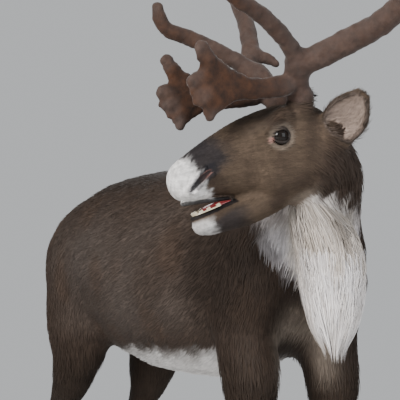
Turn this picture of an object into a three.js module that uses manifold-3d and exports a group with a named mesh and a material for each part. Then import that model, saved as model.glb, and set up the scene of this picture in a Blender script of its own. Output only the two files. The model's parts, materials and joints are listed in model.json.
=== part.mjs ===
// A reindeer bull at life size, standing square with its head turned to its right, antlers in velvet.
// Millimetres, +Z up, +X the way the body faces, +Y to the animal's left, hooves on the plane z = 0.
import * as THREE from "three";
import { mergeVertices } from "three/addons/utils/BufferGeometryUtils.js";
import Module from "manifold-3d";

const wasm = await Module();
wasm.setup();

const at = (x, y, z) => new THREE.Vector3(x, y, z);
const mix = THREE.MathUtils.lerp;
const clamp = THREE.MathUtils.clamp;
const SIDES = { left: 1, right: -1 };

// Driving dimensions.
const GAP = 0.3; // between two pieces that touch
const CORONET_HEIGHT = 58; // top of a claw at its toe
const CORONET_SLOPE = 0.28; // how far the coronet falls towards the heel, for each mm back
const KNEE_CUT = 372; // where the foreleg is parted above the knee
const HOCK_CUT = 442; // where the hind leg is parted above the hock
const HIND_STRIDE = 80; // how far the left hind foot stands ahead of the right one
const EYE_RADIUS = 20;
const HEAD_ORIGIN = at(641.4, -210.2, 1063.2); // midway between the eyes
const HEAD_YAW = THREE.MathUtils.degToRad(-94); // turned to the animal's right
const HEAD_PITCH = THREE.MathUtils.degToRad(33); // nose down

const FINISH = {
  coat: { color: 0x5d5047, roughness: 0.9 },
  mane: { color: 0xd8d2c8, roughness: 0.9 },
  velvet: { color: 0x5f4033, roughness: 0.85 },
  hoof: { color: 0x2b2725, roughness: 0.55 },
  eye: { color: 0x0c0a09, roughness: 0.06 },
  tooth: { color: 0xd9cfb8, roughness: 0.35 },
  tongue: { color: 0xa0302f, roughness: 0.4 },
};

// The head's own frame: x runs to the nose, y to its left, z to its forehead.
const headFrame = new THREE.Matrix4().makeRotationZ(HEAD_YAW)
  .multiply(new THREE.Matrix4().makeRotationY(HEAD_PITCH))
  .setPosition(HEAD_ORIGIN);
const toHead = headFrame.clone().invert();

// A limb is a bent body of oval section. A station is [x, y, z, half depth, half width], and the
// half width lies along the limb's side direction.
function limb(stations, side = at(0, 1, 0), steps = 4) {
  const route = new THREE.CatmullRomCurve3(stations.map((s) => at(s[0], s[1], s[2])), false, "catmullrom");
  const sizes = new THREE.CatmullRomCurve3(stations.map((s) => at(s[3], s[4], 0)), false, "catmullrom");
  const count = (stations.length - 1) * steps;
  const rings = Array.from({ length: count + 1 }, (_, i) => {
    const size = sizes.getPoint(i / count);
    return { centre: route.getPoint(i / count), depth: size.x, width: size.y };
  });
  return { rings, side: side.clone().normalize() };
}

const mirrored = (stations, sign) => stations.map(([x, y, ...rest]) => [x, y * sign, ...rest]);

// Distance from a point to a limb's surface, negative inside.
const arm = at(0, 0, 0);
const span = at(0, 0, 0);
function limbDistance({ rings, side }, point) {
  let nearest = Infinity;
  for (let i = 0; i < rings.length - 1; i++) {
    const [a, b] = [rings[i], rings[i + 1]];
    span.subVectors(b.centre, a.centre);
    arm.subVectors(point, a.centre);
    const along = clamp(arm.dot(span) / span.lengthSq(), 0, 1);
    const depth = mix(a.depth, b.depth, along);
    const width = mix(a.width, b.width, along);
    arm.addScaledVector(span, -along);
    arm.addScaledVector(side, arm.dot(side) * (depth / width - 1));
    nearest = Math.min(nearest, (arm.length() - depth) * Math.min(1, width / depth));
  }
  return nearest;
}

// Joins two distances with a fillet about as wide as the blend.
function blend(a, b, width) {
  const share = Math.max(width - Math.abs(a - b), 0) / width;
  return Math.min(a, b) - (share * share * width) / 4;
}

// The trunk, from rump to chest.
const trunk = limb([
  [-484, 0, 878, 188, 182],
  [-320, 0, 856, 236, 216],
  [-150, 0, 830, 264, 230],
  [0, 0, 816, 268, 230],
  [130, 0, 814, 268, 226],
  [270, 0, 836, 256, 196],
  [370, 0, 866, 205, 160],
  [405, 0, 868, 160, 130],
]);

// A foreleg, from the top of the shoulder blade to the coronet, on the animal's left.
const FORELEG = [
  [330, 80, 1005, 84, 50],
  [440, 110, 830, 98, 66],
  [400, 112, 670, 90, 70],
  [418, 112, 560, 82, 66],
  [424, 110, 470, 60, 50],
  [432, 108, 385, 40, 37],
  [430, 108, 335, 34, 32],
  [428, 108, 240, 24, 21],
  [427, 110, 150, 27, 24],
  [427, 110, 125, 32, 29],
  [441, 110, 85, 29, 33],
  [452, 110, 56, 34, 40],
];

// A hind leg, from the haunch to the coronet, and the tendon that stands out above the hock.
const HIND_LEG = [
  [-458, 118, 820, 164, 92],
  [-456, 122, 700, 148, 88],
  [-472, 122, 610, 104, 72],
  [-516, 121, 530, 76, 57],
  [-575, 118, 470, 52, 42],
  [-622, 115, 420, 38, 31],
  [-620, 113, 370, 32, 27],
  [-604, 112, 270, 25, 22],
  [-592, 112, 160, 27, 24],
  [-590, 112, 128, 32, 29],
  [-574, 112, 85, 29, 33],
  [-563, 112, 56, 34, 40],
];
const HAMSTRING = [
  [-545, 119, 600, 44, 34],
  [-596, 118, 520, 26, 20],
  [-645, 115, 450, 20, 17],
  [-646, 114, 420, 20, 18],
];

// The left hind foot stands ahead of the right one, more so further down the leg.
const strideAt = (z, side) => (side > 0 ? HIND_STRIDE * clamp((560 - z) / 190, 0, 1) : 0);
const stepped = (stations, side) =>
  mirrored(stations, side).map(([x, y, z, ...rest]) => [x + strideAt(z, side), y, z, ...rest]);

const legs = Object.values(SIDES).flatMap((side) => [
  { limb: limb(mirrored(FORELEG, side)) },
  { limb: limb(stepped(HIND_LEG, side)), tendon: limb(stepped(HAMSTRING, side)) },
]);

// The neck rises from the chest and bends to the right into the back of the head.
const neck = limb([
  [380, 0, 930, 172, 122],
  [470, -4, 958, 160, 118],
  [555, -28, 996, 132, 98],
  [612, -66, 1024, 110, 80],
  [640, -102, 1036, 98, 68],
  [642, -128, 1044, 86, 66],
]);

// The head's limbs, in its own frame.
const skull = limb([
  [-72, 0, -36, 72, 66],
  [-20, 0, -30, 88, 70],
  [45, 0, -16, 86, 62],
  [100, 0, 2, 70, 50],
  [150, 0, 14, 56, 43],
  [188, 0, 16, 51, 40],
  [206, 0, 20, 44, 39],
]);
const mandible = limb([
  [-45, 0, -88, 50, 50],
  [45, 0, -100, 42, 42],
  [120, 0, -100, 33, 36],
  [170, 0, -90, 28, 31],
  [205, 0, -80, 27, 27],
  [226, 0, -74, 22, 21],
]);
const faceForms = Object.values(SIDES).flatMap((side) => [
  limb(mirrored([[-30, 44, -72, 52, 26], [45, 38, -66, 44, 24]], side)), // cheek
  limb(mirrored([[-32, 50, 26, 24, 22], [6, 52, 24, 25, 24], [34, 40, 30, 22, 20]], side)), // brow
  limb(mirrored([[-78, 42, 18, 34, 28], [-97, 47, 40, 21, 21]], side)), // pedicle
  limb(mirrored([[-104, 44, -44, 28, 26], [-116, 57, -54, 24, 18]], side)), // root of the ear
  limb(mirrored([[186, 22, 14, 24, 18], [212, 18, 10, 26, 20]], side)), // side of the nose
]);

const inHead = at(0, 0, 0);
function headDistance(point) {
  inHead.copy(point).applyMatrix4(toHead);
  let distance = blend(limbDistance(skull, inHead), limbDistance(mandible, inHead), 16);
  for (const form of faceForms) distance = blend(distance, limbDistance(form, inHead), 14);
  return distance;
}

// The whole animal's flesh as one rounded surface.
function fleshDistance(point) {
  let distance = limbDistance(trunk, point);
  for (const { limb: leg, tendon } of legs) {
    let part = limbDistance(leg, point);
    if (tendon) part = blend(part, limbDistance(tendon, point), 30);
    distance = blend(distance, part, 46);
  }
  distance = blend(distance, limbDistance(neck, point), 60);
  return blend(distance, headDistance(point), 26);
}

// Zones that part the flesh. A plane is a point and the direction that points into the zone.
const plane = (point, normal) => ({ point, normal: normal.clone().normalize() });
const flipped = ({ point, normal }) => ({ point, normal: normal.clone().negate() });
const outside = (planes, point) =>
  Math.max(...planes.map((p) => p.normal.dot(p.point) - p.normal.dot(point)));

const neckBase = plane(at(470, 0, 960), at(0.75, 0, 0.66));
const poll = plane(at(-140, -64, -68), at(0.5, 0.58, 0.64)); // behind the ears, in the head frame
const headBase = { point: poll.point.clone(), normal: poll.normal.clone() };
headBase.point.applyMatrix4(headFrame);
headBase.normal.transformDirection(headFrame);

const legTop = (place, side) => place === "fore"
  ? [plane(at(415, 66 * side, 604), at(-0.1, 0.6 * side, -0.8)), plane(at(285, 0, 0), at(1, 0, 0))]
  : [plane(at(-420, 62 * side, 650), at(0.1, 0.75 * side, -0.65)), plane(at(-292, 0, 0), at(-1, 0, 0))];
const legZone = (place, side) => [...legTop(place, side), plane(at(0, 2 * side, 0), at(0, side, 0))];
const legZones = ["fore", "hind"].flatMap((place) =>
  Object.values(SIDES).map((side) => legZone(place, side)));

// The closed surface where a distance is zero, as one point in each cell that it crosses, joined across
// the cells' edges.
const AXES = ["x", "y", "z"];
function netOf(distance, low, high, cell, shift) {
  const counts = AXES.map((a) => Math.ceil((high[a] - low[a]) / cell[a]) + 2);
  const [nx, ny, nz] = counts.map((n) => n + 1);
  const place = (i, j, k) => at(
    low.x + (i - shift) * cell.x, low.y + (j - shift) * cell.y, low.z + (k - shift) * cell.z);
  const index = (i, j, k) => (i * ny + j) * nz + k;
  const values = new Float64Array(nx * ny * nz);
  for (let i = 0; i < nx; i++)
    for (let j = 0; j < ny; j++)
      for (let k = 0; k < nz; k++) values[index(i, j, k)] = distance(place(i, j, k));
  settleSaddles(values, [nx, ny, nz], index);

  const points = [];
  const owner = new Int32Array(nx * ny * nz).fill(-1);
  const corners = [0, 1].flatMap((i) => [0, 1].flatMap((j) => [0, 1].map((k) => [i, j, k])));
  const edges = corners.flatMap((a) => corners
    .filter((b) => a.reduce((sum, v, n) => sum + (b[n] - v), 0) === 1 && a.every((v, n) => b[n] >= v))
    .map((b) => [a, b]));
  for (let i = 0; i < nx - 1; i++)
    for (let j = 0; j < ny - 1; j++)
      for (let k = 0; k < nz - 1; k++) {
        const sum = at(0, 0, 0);
        let crossings = 0;
        for (const [a, b] of edges) {
          const va = values[index(i + a[0], j + a[1], k + a[2])];
          const vb = values[index(i + b[0], j + b[1], k + b[2])];
          if (va < 0 === vb < 0) continue;
          const from = place(i + a[0], j + a[1], k + a[2]);
          sum.add(from.lerp(place(i + b[0], j + b[1], k + b[2]), va / (va - vb)));
          crossings += 1;
        }
        if (!crossings) continue;
        owner[index(i, j, k)] = points.length;
        points.push(settled(distance, sum.divideScalar(crossings), place(i, j, k), cell));
      }

  const faces = [];
  const quad = (cells, outward) => {
    const [a, b, c, d] = (outward ? cells : [...cells].reverse()).map(([i, j, k]) => owner[index(i, j, k)]);
    const short = points[a].distanceTo(points[c]) < points[b].distanceTo(points[d]);
    faces.push(...(short ? [a, b, c, a, c, d] : [a, b, d, b, c, d]));
  };
  for (let i = 1; i < nx - 1; i++)
    for (let j = 1; j < ny - 1; j++)
      for (let k = 1; k < nz - 1; k++) {
        const here = values[index(i, j, k)] < 0;
        if (here !== values[index(i + 1, j, k)] < 0)
          quad([[i, j - 1, k - 1], [i, j, k - 1], [i, j, k], [i, j - 1, k]], here);
        if (here !== values[index(i, j + 1, k)] < 0)
          quad([[i - 1, j, k - 1], [i - 1, j, k], [i, j, k], [i, j, k - 1]], here);
        if (here !== values[index(i, j, k + 1)] < 0)
          quad([[i - 1, j - 1, k], [i, j - 1, k], [i, j, k], [i - 1, j, k]], here);
      }
  return { points, faces };
}

// Where the corners of a cell's face lie inside and outside by turns, the one nearest the surface changes
// side, so that no edge of the net is shared by more than two faces.
function settleSaddles(values, [nx, ny, nz], index) {
  const turns = [[[1, 0, 0], [0, 1, 0]], [[0, 1, 0], [0, 0, 1]], [[0, 0, 1], [1, 0, 0]]];
  for (let pass = 0, changes = 1; pass < 12 && changes; pass++) {
    changes = 0;
    for (let i = 0; i < nx - 1; i++)
      for (let j = 0; j < ny - 1; j++)
        for (let k = 0; k < nz - 1; k++)
          for (const [u, v] of turns) {
            const ring = [[0, 0], [1, 0], [1, 1], [0, 1]].map(([a, b]) =>
              index(i + a * u[0] + b * v[0], j + a * u[1] + b * v[1], k + a * u[2] + b * v[2]));
            const inner = ring.map((n) => values[n] < 0);
            if (inner[0] !== inner[2] || inner[1] !== inner[3] || inner[0] === inner[1]) continue;
            const least = ring.reduce((a, b) => (Math.abs(values[b]) < Math.abs(values[a]) ? b : a));
            values[least] = values[least] < 0 ? 0.01 : -0.01;
            changes += 1;
          }
  }
}

// Moves a point along the slope onto the surface, without leaving its cell.
function settled(distance, point, low, cell) {
  const probe = at(0, 0, 0);
  for (let turn = 0; turn < 4; turn++) {
    const value = distance(point);
    const slope = at(0, 0, 0);
    for (const a of AXES) {
      const step = (sign) => distance(probe.copy(point).setComponent(AXES.indexOf(a), point[a] + sign));
      slope[a] = (step(1) - step(-1)) / 2;
    }
    point.addScaledVector(slope, -value / Math.max(slope.lengthSq(), 0.05));
    for (const a of AXES) point[a] = clamp(point[a], low[a] + 0.04 * cell[a], low[a] + 0.96 * cell[a]);
  }
  return point;
}

const isClosed = ({ faces }) => {
  const sides = new Map();
  faces.forEach((a, n) => {
    const b = faces[n % 3 === 2 ? n - 2 : n + 1];
    const key = Math.min(a, b) + "_" + Math.max(a, b);
    sides.set(key, (sides.get(key) ?? 0) + 1);
  });
  return [...sides.values()].every((n) => n === 2);
};

function shapeOf(points, faces) {
  const shape = new THREE.BufferGeometry().setFromPoints(points);
  return shape.setIndex(faces);
}

// A piece of flesh between two corners of a box and inside its zones, left a little long for the cuts,
// and the room that it takes up with the gap that its neighbours keep.
function fleshSolid(low, high, cell, keep, drop = [], distance = fleshDistance) {
  const slack = 1.6 * Math.max(cell.x, cell.y, cell.z);
  const clipped = (point) => Math.max(
    distance(point), outside(keep, point) - slack, ...drop.map((zone) => -outside(zone, point) - slack));
  for (const shift of [0, 0.3, 0.6, 0.15, 0.45, 0.75]) {
    const net = netOf(
      clipped, low.clone().sub(cell).subScalar(slack), high.clone().add(cell).addScalar(slack), cell, shift);
    if (!isClosed(net)) continue;
    const whole = solidOf(shapeOf(net.points, net.faces));
    const parted = (piece, gap) => {
      const walled = keep.reduce((rest, wall) => rest.intersect(halfSpace(wall, gap)), piece);
      return largest(drop.reduce((rest, zone) => rest.subtract(zoneSolid(zone, -gap)), walled));
    };
    return { solid: parted(whole, GAP / 2), room: parted(swollen(whole), -GAP / 2) };
  }
  throw new Error("no grid closes this piece of flesh");
}

// Joining and cutting.
function solidOf(shape) {
  const bare = shape.clone();
  bare.deleteAttribute("normal");
  bare.deleteAttribute("uv");
  const merged = mergeVertices(bare, 1e-3);
  return new wasm.Manifold(new wasm.Mesh({
    numProp: 3,
    vertProperties: merged.attributes.position.array,
    triVerts: new Uint32Array(merged.index.array),
  }));
}
const largest = (solid) =>
  solid.decompose().sort((a, b) => b.volume() - a.volume())[0];
const joined = (solids) => solids.reduce((whole, next) => whole.add(next));
const placed = (solid, matrix) => solid.transform(matrix.elements);

// Everything on the inner side of a plane, moved inwards by a gap.
const REACH = 3000;
function halfSpace({ point, normal }, gap) {
  const turn = new THREE.Quaternion().setFromUnitVectors(at(0, 0, 1), normal);
  const block = new THREE.BoxGeometry(2 * REACH, 2 * REACH, REACH).translate(0, 0, REACH / 2 + gap);
  return solidOf(block.applyQuaternion(turn).translate(point.x, point.y, point.z));
}
const zoneSolid = (planes, gap) =>
  planes.map((p) => halfSpace(p, gap)).reduce((zone, next) => zone.intersect(next));

// The same solid grown by a gap on every face.
function swollen(solid, gap = GAP) {
  const mesh = solid.getMesh();
  const count = mesh.numProp;
  const corner = (v) => at(...mesh.vertProperties.subarray(v * count, v * count + 3));
  const sums = Array.from({ length: mesh.numVert }, () => at(0, 0, 0));
  const facing = Array.from({ length: mesh.numVert }, () => []);
  for (let f = 0; f < mesh.triVerts.length; f += 3) {
    const [a, b, c] = [0, 1, 2].map((n) => mesh.triVerts[f + n]);
    const normal = corner(b).sub(corner(a)).cross(corner(c).sub(corner(a)));
    const weight = normal.length();
    if (weight < 1e-9) continue;
    for (const v of [a, b, c]) {
      sums[v].add(normal);
      facing[v].push(normal.clone().divideScalar(weight));
    }
  }
  const points = sums.map((sum, v) => {
    const way = sum.normalize();
    const least = Math.min(...facing[v].map((n) => n.dot(way)), 1);
    return corner(v).addScaledVector(way, gap / Math.max(least, 0.35));
  });
  return solidOf(shapeOf(points, [...mesh.triVerts]));
}

// A solid cut back from the rooms of its neighbours.
const clearOf = (solid, ...rooms) => largest(rooms.reduce((rest, room) => rest.subtract(room), solid));

// A tapered tube with round ends along a smooth route. A station is [x, y, z, half depth, half width],
// and the half width lies along the wide direction.
function horn(stations, { sides = 8, steps = 2, wide = at(0, 1, 0), blunt = 0.45 } = {}) {
  const { rings } = limb(stations, wide, steps);
  const first = rings[0];
  const last = rings[rings.length - 1];
  const lead = first.centre.clone().sub(rings[1].centre).normalize();
  const tail = last.centre.clone().sub(rings[rings.length - 2].centre).normalize();
  const capped = [
    { ...first, centre: first.centre.clone().addScaledVector(lead, first.depth * blunt),
      depth: first.depth * 0.6, width: first.width * 0.6 },
    ...rings,
    { ...last, centre: last.centre.clone().addScaledVector(tail, last.depth * blunt),
      depth: last.depth * 0.6, width: last.width * 0.6 },
  ];
  const points = [];
  capped.forEach((ring, n) => {
    const before = capped[Math.max(n - 1, 0)].centre;
    const after = capped[Math.min(n + 1, capped.length - 1)].centre;
    const ahead = after.clone().sub(before).normalize();
    const across = wide.clone().addScaledVector(ahead, -wide.dot(ahead)).normalize();
    const up = ahead.clone().cross(across);
    for (let s = 0; s < sides; s++) {
      const angle = ((s + 0.5) * 2 * Math.PI) / sides;
      points.push(ring.centre.clone()
        .addScaledVector(across, Math.cos(angle) * ring.width)
        .addScaledVector(up, Math.sin(angle) * ring.depth));
    }
  });
  const faces = [];
  for (let r = 0; r < capped.length - 1; r++)
    for (let s = 0; s < sides; s++) {
      const [a, b] = [r * sides + s, r * sides + ((s + 1) % sides)];
      faces.push(a, b, a + sides, b, b + sides, a + sides);
    }
  const end = (capped.length - 1) * sides;
  for (let s = 1; s < sides - 1; s++) faces.push(0, s + 1, s, end, end + s, end + s + 1);
  return solidOf(shapeOf(points, faces));
}

// Where a ray from the side meets the head's skin, in the head's frame.
function cheekAt(x, z, side) {
  let [inner, outer] = [0, 140];
  for (let turn = 0; turn < 22; turn++) {
    const middle = (inner + outer) / 2;
    const point = at(x, middle * side, z).applyMatrix4(headFrame);
    if (headDistance(point) < 0) inner = middle;
    else outer = middle;
  }
  return inner * side;
}

// The head, in its own frame: the skull and its lids, lips and nostrils, parted from the lower jaw.
const MOUTH_CORNER = [140, -65];
const MOUTH_TOP_SLOPE = 0.44;
const MOUTH_LOW_SLOPE = 0.17;
const MOUTH_FRONT = 300;
const JAW_PART = [64, -190]; // where the parting of the jaw leaves the throat

function sideProfile(corners, halfWidth = 160) {
  const outline = new THREE.Shape(corners.map(([x, z]) => new THREE.Vector2(x, z)));
  const slab = new THREE.ExtrudeGeometry(outline, { depth: 2 * halfWidth, bevelEnabled: false });
  return solidOf(slab.rotateX(Math.PI / 2).translate(0, halfWidth, 0));
}
const mouthTop = (x) => MOUTH_CORNER[1] + (x - MOUTH_CORNER[0]) * MOUTH_TOP_SLOPE;
const mouthLow = (x) => MOUTH_CORNER[1] + (x - MOUTH_CORNER[0]) * MOUTH_LOW_SLOPE;
const belowMouth = (topOf, gap) => sideProfile([
  [MOUTH_CORNER[0] + gap, MOUTH_CORNER[1]],
  [JAW_PART[0] + gap, JAW_PART[1]],
  [MOUTH_FRONT, JAW_PART[1]],
  [MOUTH_FRONT, topOf(MOUTH_FRONT)],
]);

// Lids ring the eye on a slant, the front corner higher than the back one.
const EYE = at(2, 57, 0);
const LID_SLANT = THREE.MathUtils.degToRad(26);
function lid(side, from, to, lift) {
  const stations = [];
  const count = 6;
  for (let n = 0; n <= count; n++) {
    const angle = mix(from, to, n / count);
    const [u, w] = [19.5 * Math.cos(angle), 15 * Math.sin(angle)];
    const x = u * Math.cos(LID_SLANT) - w * Math.sin(LID_SLANT);
    const z = u * Math.sin(LID_SLANT) + w * Math.cos(LID_SLANT);
    const out = Math.sqrt(Math.max((EYE_RADIUS + lift) ** 2 - x * x - z * z, 4));
    const size = 3.2 + 2 * Math.sin(angle) ** 2;
    stations.push([EYE.x + x, (EYE.y + out - 1) * side, EYE.z + z, size, size]);
  }
  return horn(stations, { sides: 6, steps: 1, wide: at(0.2, side, 0.1) });
}

// A tube laid on the skin of one side of the face, sunk by a depth.
function onCheek(side, spots, sunk, options = {}) {
  const stations = spots.map(([x, z, size]) => [x, cheekAt(x, z, side) - sunk * side, z, size, size]);
  return horn(stations, { sides: 6, steps: 2, wide: at(0, 1, 0), ...options });
}

// A lip runs from one corner of the mouth round the front to the other.
function lip(edgeOf, rise, front, size) {
  const thick = (n) => size - 0.4 * (3 - n);
  const lift = (n) => rise * (thick(n) + 0.6);
  const flank = (side) => [152, 176, 200, 224].map((x, n) => [
    x, cheekAt(x, edgeOf(x) + lift(n), side) - 1.5 * side, edgeOf(x) + lift(n), thick(n), thick(n)]);
  const middle = [front, 0, edgeOf(front) + lift(3), thick(3), thick(3)];
  return horn([...flank(1), middle, ...flank(-1).reverse()], { sides: 6, steps: 1, wide: at(0, 0, 1) });
}

const headLow = at(-270, -190, -290);
const headHigh = at(275, 150, 110);
const headLocal = (point) => fleshDistance(point.clone().applyMatrix4(headFrame));

const { solid: wholeHead, room: headRoom } = fleshSolid(headLow, headHigh, at(24, 20, 21), [poll], [], headLocal);

const eyeballs = {};
let headSolid = wholeHead.subtract(belowMouth(mouthTop, -GAP / 2)).add(lip(mouthTop, 1, 240, 5));
for (const [name, side] of Object.entries(SIDES)) {
  const ball = new THREE.SphereGeometry(EYE_RADIUS, 12, 8).rotateX(Math.PI / 2);
  eyeballs[name] = solidOf(ball.translate(EYE.x, EYE.y * side, EYE.z));
  const socket = swollen(eyeballs[name]);
  const nostril = onCheek(side, [[172, 22, 4], [190, 20, 6.5], [206, 12, 7.5], [218, 3, 4]], 1);
  const wing = onCheek(side, [[170, 13, 3], [190, 10, 4.5], [208, 1, 4.5], [220, -4, 3]], 0.5);
  headSolid = headSolid.add(lid(side, 0.1, Math.PI - 0.1, 3)).add(lid(side, Math.PI, 2 * Math.PI, 2.4))
    .subtract(socket).subtract(nostril).add(wing);
}
headSolid = largest(headSolid);
let jawSolid = wholeHead.intersect(belowMouth(mouthLow, GAP / 2)).add(lip(mouthLow, -1, 238, 4.2));
jawSolid = largest(jawSolid);

// The tongue lies on the jaw, and a row of small teeth stands inside the lower lip.
const ROOM_START = MOUTH_CORNER[0] + 5;
const mouthRoom = sideProfile([
  [ROOM_START, mouthLow(ROOM_START) + GAP],
  [MOUTH_FRONT, mouthLow(MOUTH_FRONT) + GAP],
  [MOUTH_FRONT, mouthTop(MOUTH_FRONT) - GAP],
  [ROOM_START, mouthTop(ROOM_START) - GAP],
]);
const tongueSolid = largest(horn(
  [[150, 0, -66, 10, 15], [172, 0, -60, 10, 15], [196, 0, -55, 9, 14], [208, 0, -52, 7, 10]],
  { sides: 10, steps: 1 }).intersect(mouthRoom));

const TOOTH = { count: 9, width: 8.4, depth: 4.5, height: 9 };
function toothRow() {
  const spots = Array.from({ length: TOOTH.count }, (_, n) => {
    const turn = (n / (TOOTH.count - 1) - 0.5) * 2.9;
    return at(170 + 62 * Math.cos(turn) ** 0.75, 22 * Math.sin(turn), 0);
  });
  const gum = horn(spots.map(({ x, y }) => [x, y, mouthLow(x), 3.4, 3]), { sides: 6, steps: 1, wide: at(0, 0, 1) });
  const teeth = spots.map(({ x, y }, n) => {
    const along = spots[Math.min(n + 1, spots.length - 1)].clone().sub(spots[Math.max(n - 1, 0)]);
    const crown = new THREE.BoxGeometry(TOOTH.width, TOOTH.depth, TOOTH.height);
    return solidOf(crown.rotateX(0.12).rotateZ(Math.atan2(along.y, along.x)).translate(x, y, mouthLow(x) + 2));
  });
  return joined([gum, ...teeth]);
}
const teethSolid = largest(toothRow().intersect(mouthRoom));

// Torso, neck and legs.
const torsoPart = fleshSolid(
  at(-740, -300, 480), at(720, 300, 1160), at(84, 56, 60), [flipped(neckBase)], legZones);
const neckPart = fleshSolid(
  at(300, -260, 740), at(800, 200, 1220), at(44, 44, 44), [neckBase, flipped(headBase)]);

// An ear is a deep cup with a rim that narrows to a blunt tip, its hollow turned forwards and outwards.
const EAR_ROOT = at(-112, 64, -62);
const EAR_AXIS = at(-0.657, 0.585, 0.475);
const EAR_FACE = at(0.667, 0.745, 0.007);
const EAR_LENGTH = 107;
function ear(side) {
  const flip = (v) => at(v.x, v.y * side, v.z);
  const [axis, face] = [flip(EAR_AXIS).normalize(), flip(EAR_FACE)];
  const broad = axis.clone().cross(face).normalize();
  const leaf = (inset, lift, start) => {
    const shares = [0, 0.16, 0.34, 0.55, 0.76, 0.93, 1];
    return shares.filter((s) => s >= start).map((share) => {
      const width = 32 + 15 * Math.sin(Math.PI * Math.min(share * 1.1 + 0.05, 1)) - 16 * share ** 6;
      const depth = 21 * (1 - share) ** 0.6 + 4.5;
      const centre = flip(EAR_ROOT).addScaledVector(axis, share * (EAR_LENGTH - inset))
        .addScaledVector(face, lift);
      return [centre.x, centre.y, centre.z, depth - inset * 0.6, width - inset];
    });
  };
  const outer = horn(leaf(0, 0, 0), { sides: 10, steps: 1, wide: broad, blunt: 0.3 });
  const hollow = horn(leaf(6, 9, 0.1), { sides: 10, steps: 1, wide: broad, blunt: 0.3 });
  return clearOf(outer.subtract(hollow), headRoom, placed(neckPart.room, toHead));
}
const ears = { left: ear(1), right: ear(-1) };

// Antlers, in the head's frame. The left and right beams differ, as on a living animal.
const BURR = [
  [-92, 44, 30, 20, 20],
  [-95, 46, 45, 29, 28],
  [-97, 50, 56, 24, 23],
  [-103, 66, 84, 23, 22],
  [-106, 88, 112, 26, 24],
];
const BROW_TINE = [
  [-100, 62, 78, 19, 17],
  [-62, 66, 84, 23, 17],
  [-20, 71, 100, 22, 15],
  [20, 74, 120, 24, 14],
  [50, 76, 142, 34, 13],
  [80, 76, 160, 44, 12],
  [102, 74, 160, 42, 11],
];
const BROW_FINGERS = [
  [[62, 78, 180, 16, 12], [70, 80, 212, 17, 12], [71, 82, 240, 17, 11]],
  [[90, 75, 170, 20, 12], [112, 73, 188, 13, 12], [121, 72, 193, 10, 10]],
  [[96, 74, 150, 22, 12], [114, 72, 158, 14, 12], [124, 71, 160, 9, 9]],
  [[80, 75, 142, 20, 12], [108, 72, 130, 14, 11], [126, 70, 112, 8, 8]],
];
const BEZ_TINE = [
  [-106, 86, 110, 20, 18],
  [-97, 104, 146, 20, 17],
  [-72, 128, 200, 19, 16],
  [-40, 148, 252, 18, 16],
  [-8, 158, 292, 17, 15],
  [-4, 161, 322, 16, 15],
  [-14, 163, 346, 13, 13],
];
const BEAMS = {
  left: [
    [-104, 80, 104, 24, 22],
    [-140, 108, 102, 27, 25],
    [-192, 155, 101, 27, 25],
    [-240, 230, 106, 26, 24],
    [-285, 320, 140, 25, 23],
    [-318, 400, 226, 25, 22],
    [-316, 440, 340, 26, 20],
    [-262, 440, 452, 30, 18],
  ],
  right: [
    [-104, 80, 104, 22, 20],
    [-106, 122, 128, 23, 20],
    [-146, 147, 150, 22, 20],
    [-178, 170, 178, 21, 19],
    [-212, 204, 216, 20, 19],
    [-262, 266, 290, 21, 19],
    [-296, 320, 392, 23, 19],
    [-270, 346, 506, 27, 17],
  ],
};
const BACK_TINES = {
  left: [[-306, 372, 196, 17, 16], [-352, 396, 232, 13, 13], [-384, 404, 280, 9, 9]],
  right: [[-158, 140, 146, 17, 15], [-172, 124, 126, 13, 12], [-176, 114, 110, 9, 9]],
};
const CROWN_POINTS = [
  [[0, 0, -30, 26, 17], [30, -6, 50, 40, 13], [66, -14, 120, 44, 12], [92, -22, 164, 30, 11]],
  [[26, -4, 60, 18, 12], [4, -2, 122, 14, 11], [-6, 0, 176, 8, 8]],
  [[72, -14, 130, 18, 12], [72, -16, 190, 13, 11], [66, -18, 236, 8, 8]],
  [[88, -20, 150, 18, 12], [128, -32, 188, 12, 10], [156, -40, 214, 7, 7]],
  [[56, -12, 76, 18, 12], [104, -24, 92, 13, 10], [142, -34, 104, 7, 7]],
];

const antlers = {};
for (const [name, side] of Object.entries(SIDES)) {
  const tine = (stations, options) => horn(mirrored(stations, side), options);
  const beamEnd = BEAMS[name][BEAMS[name].length - 1];
  const raw = {
    base: [tine(BURR, { steps: 1 })],
    brow: [tine(BROW_TINE, { sides: 6, steps: 1 }), ...BROW_FINGERS.map((s) => tine(s, { sides: 6, steps: 1 }))],
    bez: [tine(BEZ_TINE)],
    beam: [tine(BEAMS[name]), tine(BACK_TINES[name], { sides: 6, steps: 1 })],
    crown: CROWN_POINTS.map((points) => tine(
      points.map(([x, y, z, ...sizes]) => [beamEnd[0] + x, beamEnd[1] + y, beamEnd[2] + z, ...sizes]),
      { sides: 6, steps: 1 })),
  };
  const rooms = (...pieces) => pieces.flatMap((piece) => raw[piece].map((part) => swollen(part)));
  Object.assign(antlers, {
    [name + "_base"]: clearOf(joined(raw.base), headRoom),
    [name + "_brow"]: clearOf(joined(raw.brow), headRoom, ...rooms("base")),
    [name + "_bez"]: clearOf(joined(raw.bez), ...rooms("base", "brow")),
    [name + "_beam"]: clearOf(joined(raw.beam), ...rooms("base", "brow", "bez")),
    [name + "_crown"]: clearOf(joined(raw.crown), ...rooms("beam")),
  });
}

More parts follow.
